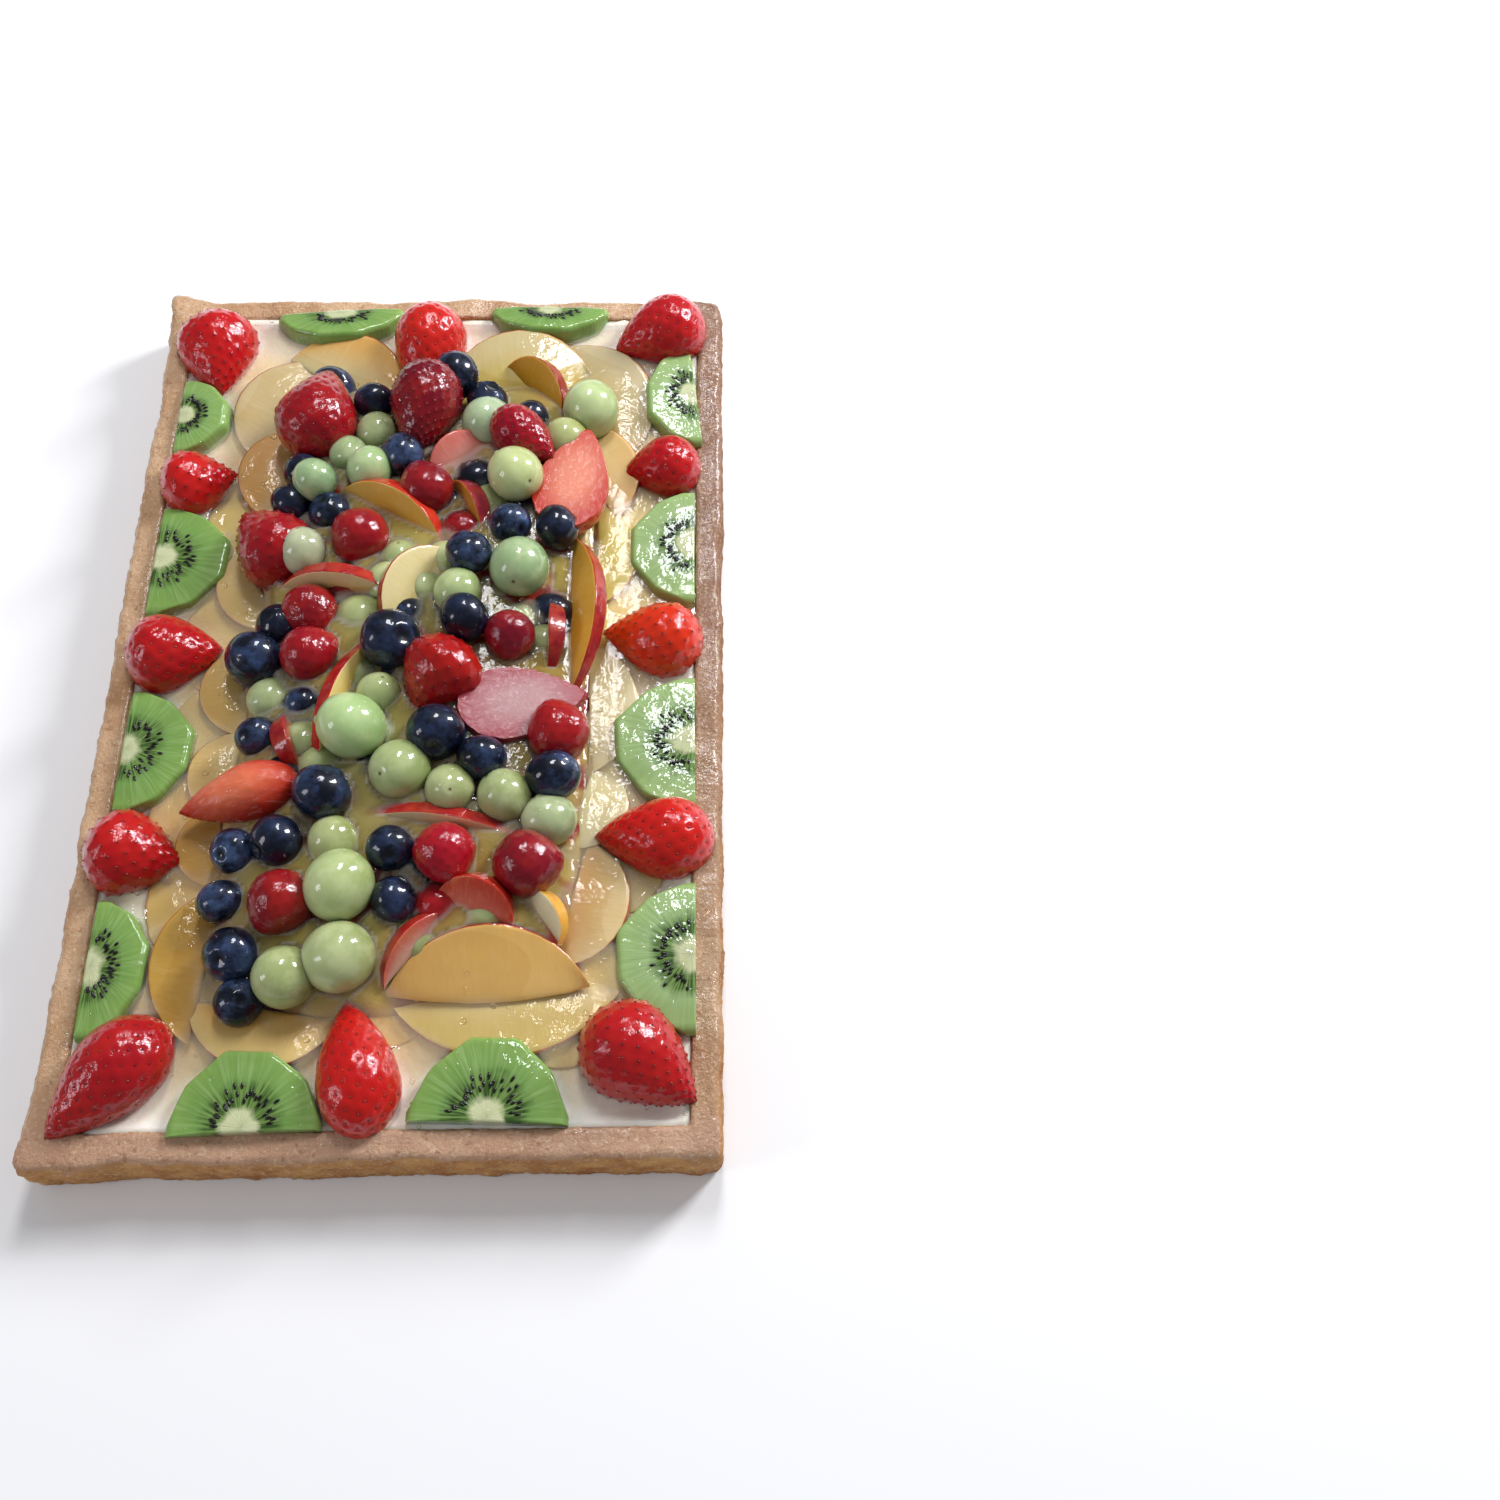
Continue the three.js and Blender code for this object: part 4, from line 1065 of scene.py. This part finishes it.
def makeLowerFruit():
    # More fruit deep in the heap, which shows through the jelly in the gaps. Each sinks until it is clear of
    # what is above.
    draw = random.Random(7)
    upper = [row[:4] for kind in ("blueberries", "grapes", "redBerries") for row in heap[kind]]
    upper += [(x, y, z, width * 1.1) for x, y, z, length, width, *rest in strawberry["heap"]]
    made = {"blue": [], "green": [], "red": []}
    number = firstLower = 500
    (rows, columns), (across, along), wander = heap["places"], heap["steps"], heap["wander"]
    for row in range(rows):
        for column in range(columns):
            x = (column - (columns - 1) / 2 + 0.5 * (row % 2)) * across + draw.uniform(-wander, wander)
            y = (row - (rows - 1) / 2) * along + draw.uniform(-wander, wander)
            size, pick = draw.uniform(*heap["lowSizes"]), draw.random()
            if coreHeight(x * 1.2, y * 1.12) < 4:
                continue
            top = fruitFloor / mm + coreHeight(x, y) - heap["sunk"]
            for ux, uy, uz, wide in upper:
                apart, reach = math.hypot(ux - x, uy - y), (size + wide) / 2 - 1.2
                if apart < reach:
                    top = min(top, uz - math.sqrt(reach * reach - apart * apart))
            if top < fruitFloor / mm + size * 0.3:
                continue
            number += 1
            if pick < 0.22:
                made["blue"].append(makeBlueberry(number, x, y, top, size))
            elif pick < 0.75:
                made["green"].append(makeGrape(number, x, y, top, size, draw.choice(heap["lowGrapes"])))
            else:
                made["red"].append(makeRedBerry(number, x, y, top, size, draw.choice(heap["lowBerries"])))
    print("lower fruit", number - firstLower)
    return made


lower = makeLowerFruit()
heapCore = makeCore()
blueberries = joinPieces("blueberries", makeBlueberry, heap["blueberries"], lower["blue"])
grapes = joinPieces("grapes", makeGrape, heap["grapes"], lower["green"])
redBerries = joinPieces("redBerries", makeRedBerry, heap["redBerries"], lower["red"])
cutPieces = joinPieces("cutPieces", makeBit, heap["bits"])
for piece in (heapCore, blueberries, grapes, redBerries, cutPieces):
    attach(piece, "root")
    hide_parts("heap")
print("heap made")


# The jelly: poured over the fruit, it fills the gaps and leaves the tops bare
jellyPour = {
    "cell": 1.3, "closing": 6.5, "blur": 1.3, "film": 0.35, "margin": 0.6, "bottom": -1.5,
    # how high the jelly may stand at the case, over the border, inside it, and over the heap besides
    "edge": 19.2, "shore": 19.5, "inside": 21.6, "heapRise": 11.2,
    # how deep it starts to cloud and is cloudiest, and how cloudy that is off the heap and on it
    "cloudDepth": (0.4, 4.6), "cloud": (0.35, 0.86), "cloudBlur": 1.2,
    "juiceShare": 0.6, "shoreJuice": "#dcc078", "heapJuice": "#988a48", "creamTone": "#ece0cc",
    "tintBlur": 3.5, "thinTone": (0.97, 0.95, 0.87), "thinShare": 0.86,
}
down = Vector((0, 0, -1))
rayTop = 0.1  # where the rays that feel for the fruit start, in metres


def shiftedMost(grid, cells, pick):
    # The greatest or least value within a round patch about each cell.
    best = grid.copy()
    padded = numpy.pad(grid, cells, mode="edge")
    rows, columns = grid.shape
    for dy in range(-cells, cells + 1):
        for dx in range(-cells, cells + 1):
            if dx * dx + dy * dy <= cells * cells:
                best = pick(best, padded[cells + dy:cells + dy + rows, cells + dx:cells + dx + columns])
    return best


def blurred(grid, cells):
    reach = int(3 * cells) + 1
    weights = numpy.exp(-0.5 * (numpy.arange(-reach, reach + 1) / cells) ** 2)
    weights /= weights.sum()
    padded = numpy.pad(grid, reach, mode="edge")
    for axis in (0, 1):
        padded = numpy.apply_along_axis(lambda line: numpy.convolve(line, weights, "same"), axis, padded)
    return padded[reach:-reach, reach:-reach]


def joinedSurface(pieces):
    # One tree of all the pieces' faces, with the colour that each face has.
    verts, faces, tones = [], [], []
    for piece in pieces:
        mesh = piece.data
        start = len(verts)
        verts += [vertex.co.copy() for vertex in mesh.vertices]
        layer = mesh.attributes.get("tone")
        plain = colour(jellyPour["creamTone"])
        for face in mesh.polygons:
            faces.append([start + i for i in face.vertices])
            tones.append(tuple(layer.data[face.vertices[0]].color) if layer else plain)
    return BVHTree.FromPolygons(verts, faces), tones


def makeJelly(pieces):
    tree, tones = joinedSurface(pieces)
    cell = jellyPour["cell"]
    front, back, half = insideCase(jellyPour["margin"])
    columns, rows = int(2 * back / cell), int(2 * half / cell)
    heights = numpy.zeros((rows + 1, columns + 1))
    tints = numpy.zeros((rows + 1, columns + 1, 3))
    spots = {}
    for row in range(rows + 1):
        v = row / rows
        width = front + (back - front) * v
        for column in range(columns + 1):
            x = (2 * column / columns - 1) * width
            x, y = spots[row, column] = (x + caseMiddle.x / mm, (2 * v - 1) * half + caseMiddle.y / mm)
            hit, _, face, _ = tree.ray_cast(Vector((x * mm, y * mm, rayTop)), down)
            heights[row, column] = (hit or creamHigh).z / mm
            tints[row, column] = (tones[face] if hit else colour(jellyPour["creamTone"]))[:3]
    levels = numpy.zeros_like(heights)
    for (row, column), (x, y) in spots.items():
        inner = min((front + (back - front) * row / rows - abs(x)), (half - abs(y)))
        low = jellyPour["edge"] + (jellyPour["shore"] - jellyPour["edge"]) * smoothStep(inner, 0, 5)
        low += (jellyPour["inside"] - jellyPour["shore"]) * smoothStep(inner, 8, 28)
        levels[row, column] = low + jellyPour["heapRise"] * (coreHeight(x, y * 0.99) / heap["rise"]) ** 0.8
    cells = int(round(jellyPour["closing"] / cell))
    closed = shiftedMost(shiftedMost(heights, cells, numpy.maximum), cells, numpy.minimum)
    surface = blurred(numpy.minimum(closed + jellyPour["film"], levels), jellyPour["blur"] / cell)
    tints = numpy.stack([blurred(tints[:, :, i], jellyPour["tintBlur"] / cell) for i in range(3)], axis=2)
    clouds = blurred(surface - heights, jellyPour["cloudBlur"] / cell)

    bm = bmesh.new()
    bmesh.ops.create_grid(bm, x_segments=columns, y_segments=rows, size=1)
    layer = bm.verts.layers.float_color.new("tone")
    cloudLayer = bm.verts.layers.float_vector.new("spot")
    shoreJuice, heapJuice = colour(jellyPour["shoreJuice"]), colour(jellyPour["heapJuice"])
    least, most = jellyPour["cloud"]
    for vertex in bm.verts:
        column = int(round((vertex.co.x + 1) / 2 * columns))
        row = int(round((vertex.co.y + 1) / 2 * rows))
        x, y = spots[row, column]
        vertex.co = Vector((x, y, surface[row, column])) * mm
        under = tuple(tints[row, column])
        inHeap = smoothStep(coreHeight(x - offMiddle[0], y - offMiddle[1]), 0.5, 6)
        cloud = (least + (most - least) * inHeap) * smoothStep(clouds[row, column], *jellyPour["cloudDepth"])
        pale = mixTone(under, jellyPour["thinTone"], jellyPour["thinShare"])
        stained = mixTone(under, mixTone(shoreJuice, heapJuice, inHeap), jellyPour["juiceShare"])
        vertex[layer] = (*mixTone(pale, stained, smoothStep(cloud, 0, 0.5)), 1)
        vertex[cloudLayer] = (0, 0, cloud)
    closeBelow(bm, creamHigh.z + jellyPour["bottom"] * mm)
    return newPiece(bm, "jellyGlaze", jelly)


fruitPieces = [creamPiece, kiwiSlices, rimStrawberries, heapStrawberries, peachSlices, nectarineSlices,
               heapCore, blueberries, grapes, redBerries, cutPieces]
jellyGlaze = makeJelly(fruitPieces)
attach(jellyGlaze, "root")
print("jelly poured")


# Drops of jelly left by the brush, on the rim and the fruit
drops = {"count": 230, "smallest": 0.5, "largest": 1.5, "rimShare": 0.25, "tone": (0.97, 0.95, 0.9, 1)}


def makeDrops(pieces):
    tree, _ = joinedSurface(pieces)
    draw = random.Random(3)
    bm = bmesh.new()
    half, side = case["length"] / 2, case["widthFront"] / 2
    for number in range(drops["count"]):
        if number < drops["count"] * drops["rimShare"]:
            along, edge = draw.uniform(-1, 1), draw.choice((-1, 1)) * draw.uniform(0.92, 0.98)
            x, y = (along * side, edge * half) if draw.random() < 0.3 else (edge * side, along * half)
        else:
            x, y = draw.uniform(-0.9, 0.9) * side, draw.uniform(-0.92, 0.92) * half
        hit, normal, _, _ = tree.ray_cast(Vector((x * mm, y * mm, rayTop)), down)
        if hit is None or normal.z < 0.35:
            continue
        size = draw.uniform(drops["smallest"], drops["largest"]) * draw.uniform(0.6, 1) * mm
        turn = normal.to_track_quat("Z", "Y").to_matrix().to_4x4()
        addBlob(bm, hit, turn, (size, size * draw.uniform(0.8, 1.3), size * 0.5))
    paint(bm, tone=drops["tone"], spot=(0, 0, 0))
    return newPiece(bm, "jellyDrops", jelly)


jellyDrops = makeDrops([crustCase, jellyGlaze] + fruitPieces)
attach(jellyDrops, "root")
print("drops made")


# Floor and light
studio = {
    "world": 0.4, "reflected": 0.14, "floor": "#f4f3f1", "sky": "#eef1f6",
    # name, place in metres, width, length, power, tone
    "lamps": [("window", (0.85, 0.62, 0.62), 0.26, 0.42, 14.8, "#f6f8ff"),
              ("skylight", (0.12, 0.66, 1.0), 0.2, 0.42, 6.5, "#f6f8ff"),
              ("farWindow", (-0.9, -0.35, 0.6), 0.25, 0.4, 2.2, "#f6f4ff")],
}


def addFloor():
    bm = bmesh.new()
    bmesh.ops.create_grid(bm, x_segments=1, y_segments=1, size=3)
    material, tree = newMaterial("paleFloor")
    setInputs(tree, tree.nodes["Principled BSDF"], {"Base Color": colour(studio["floor"]), "Roughness": 0.9,
                                                    "Specular IOR Level": 0.1})
    floor = newPiece(bm, "floor", material)


def addLamp(name, spot, width, length, power, tone):
    # A soft rectangular lamp that looks at the middle of the tart.
    data = bpy.data.lights.new(name, "AREA")
    data.shape = "RECTANGLE"
    data.size, data.size_y = width, length
    data.energy = power
    data.color = colour(tone)[:3]
    lamp = bpy.data.objects.new(name, data)
    lamp.location = spot
    lamp.rotation_euler = (Vector(spot) * -1).to_track_quat("-Z", "Y").to_euler()
    bpy.context.scene.collection.objects.link(lamp)


addFloor()
for lampRow in studio["lamps"]:
    addLamp(*lampRow)
world = bpy.data.worlds.new("studio")
world.use_nodes = True
background = world.node_tree.nodes["Background"]
glossy = addNode(world.node_tree, "ShaderNodeLightPath").outputs["Is Glossy Ray"]
strength = ramp(world.node_tree, glossy, 0, 1, studio["world"], studio["reflected"])
setInputs(world.node_tree, background, {"Color": colour(studio["sky"]), "Strength": strength})
bpy.context.scene.world = world
bpy.context.scene.view_settings.view_transform = "Standard"
print("light set")
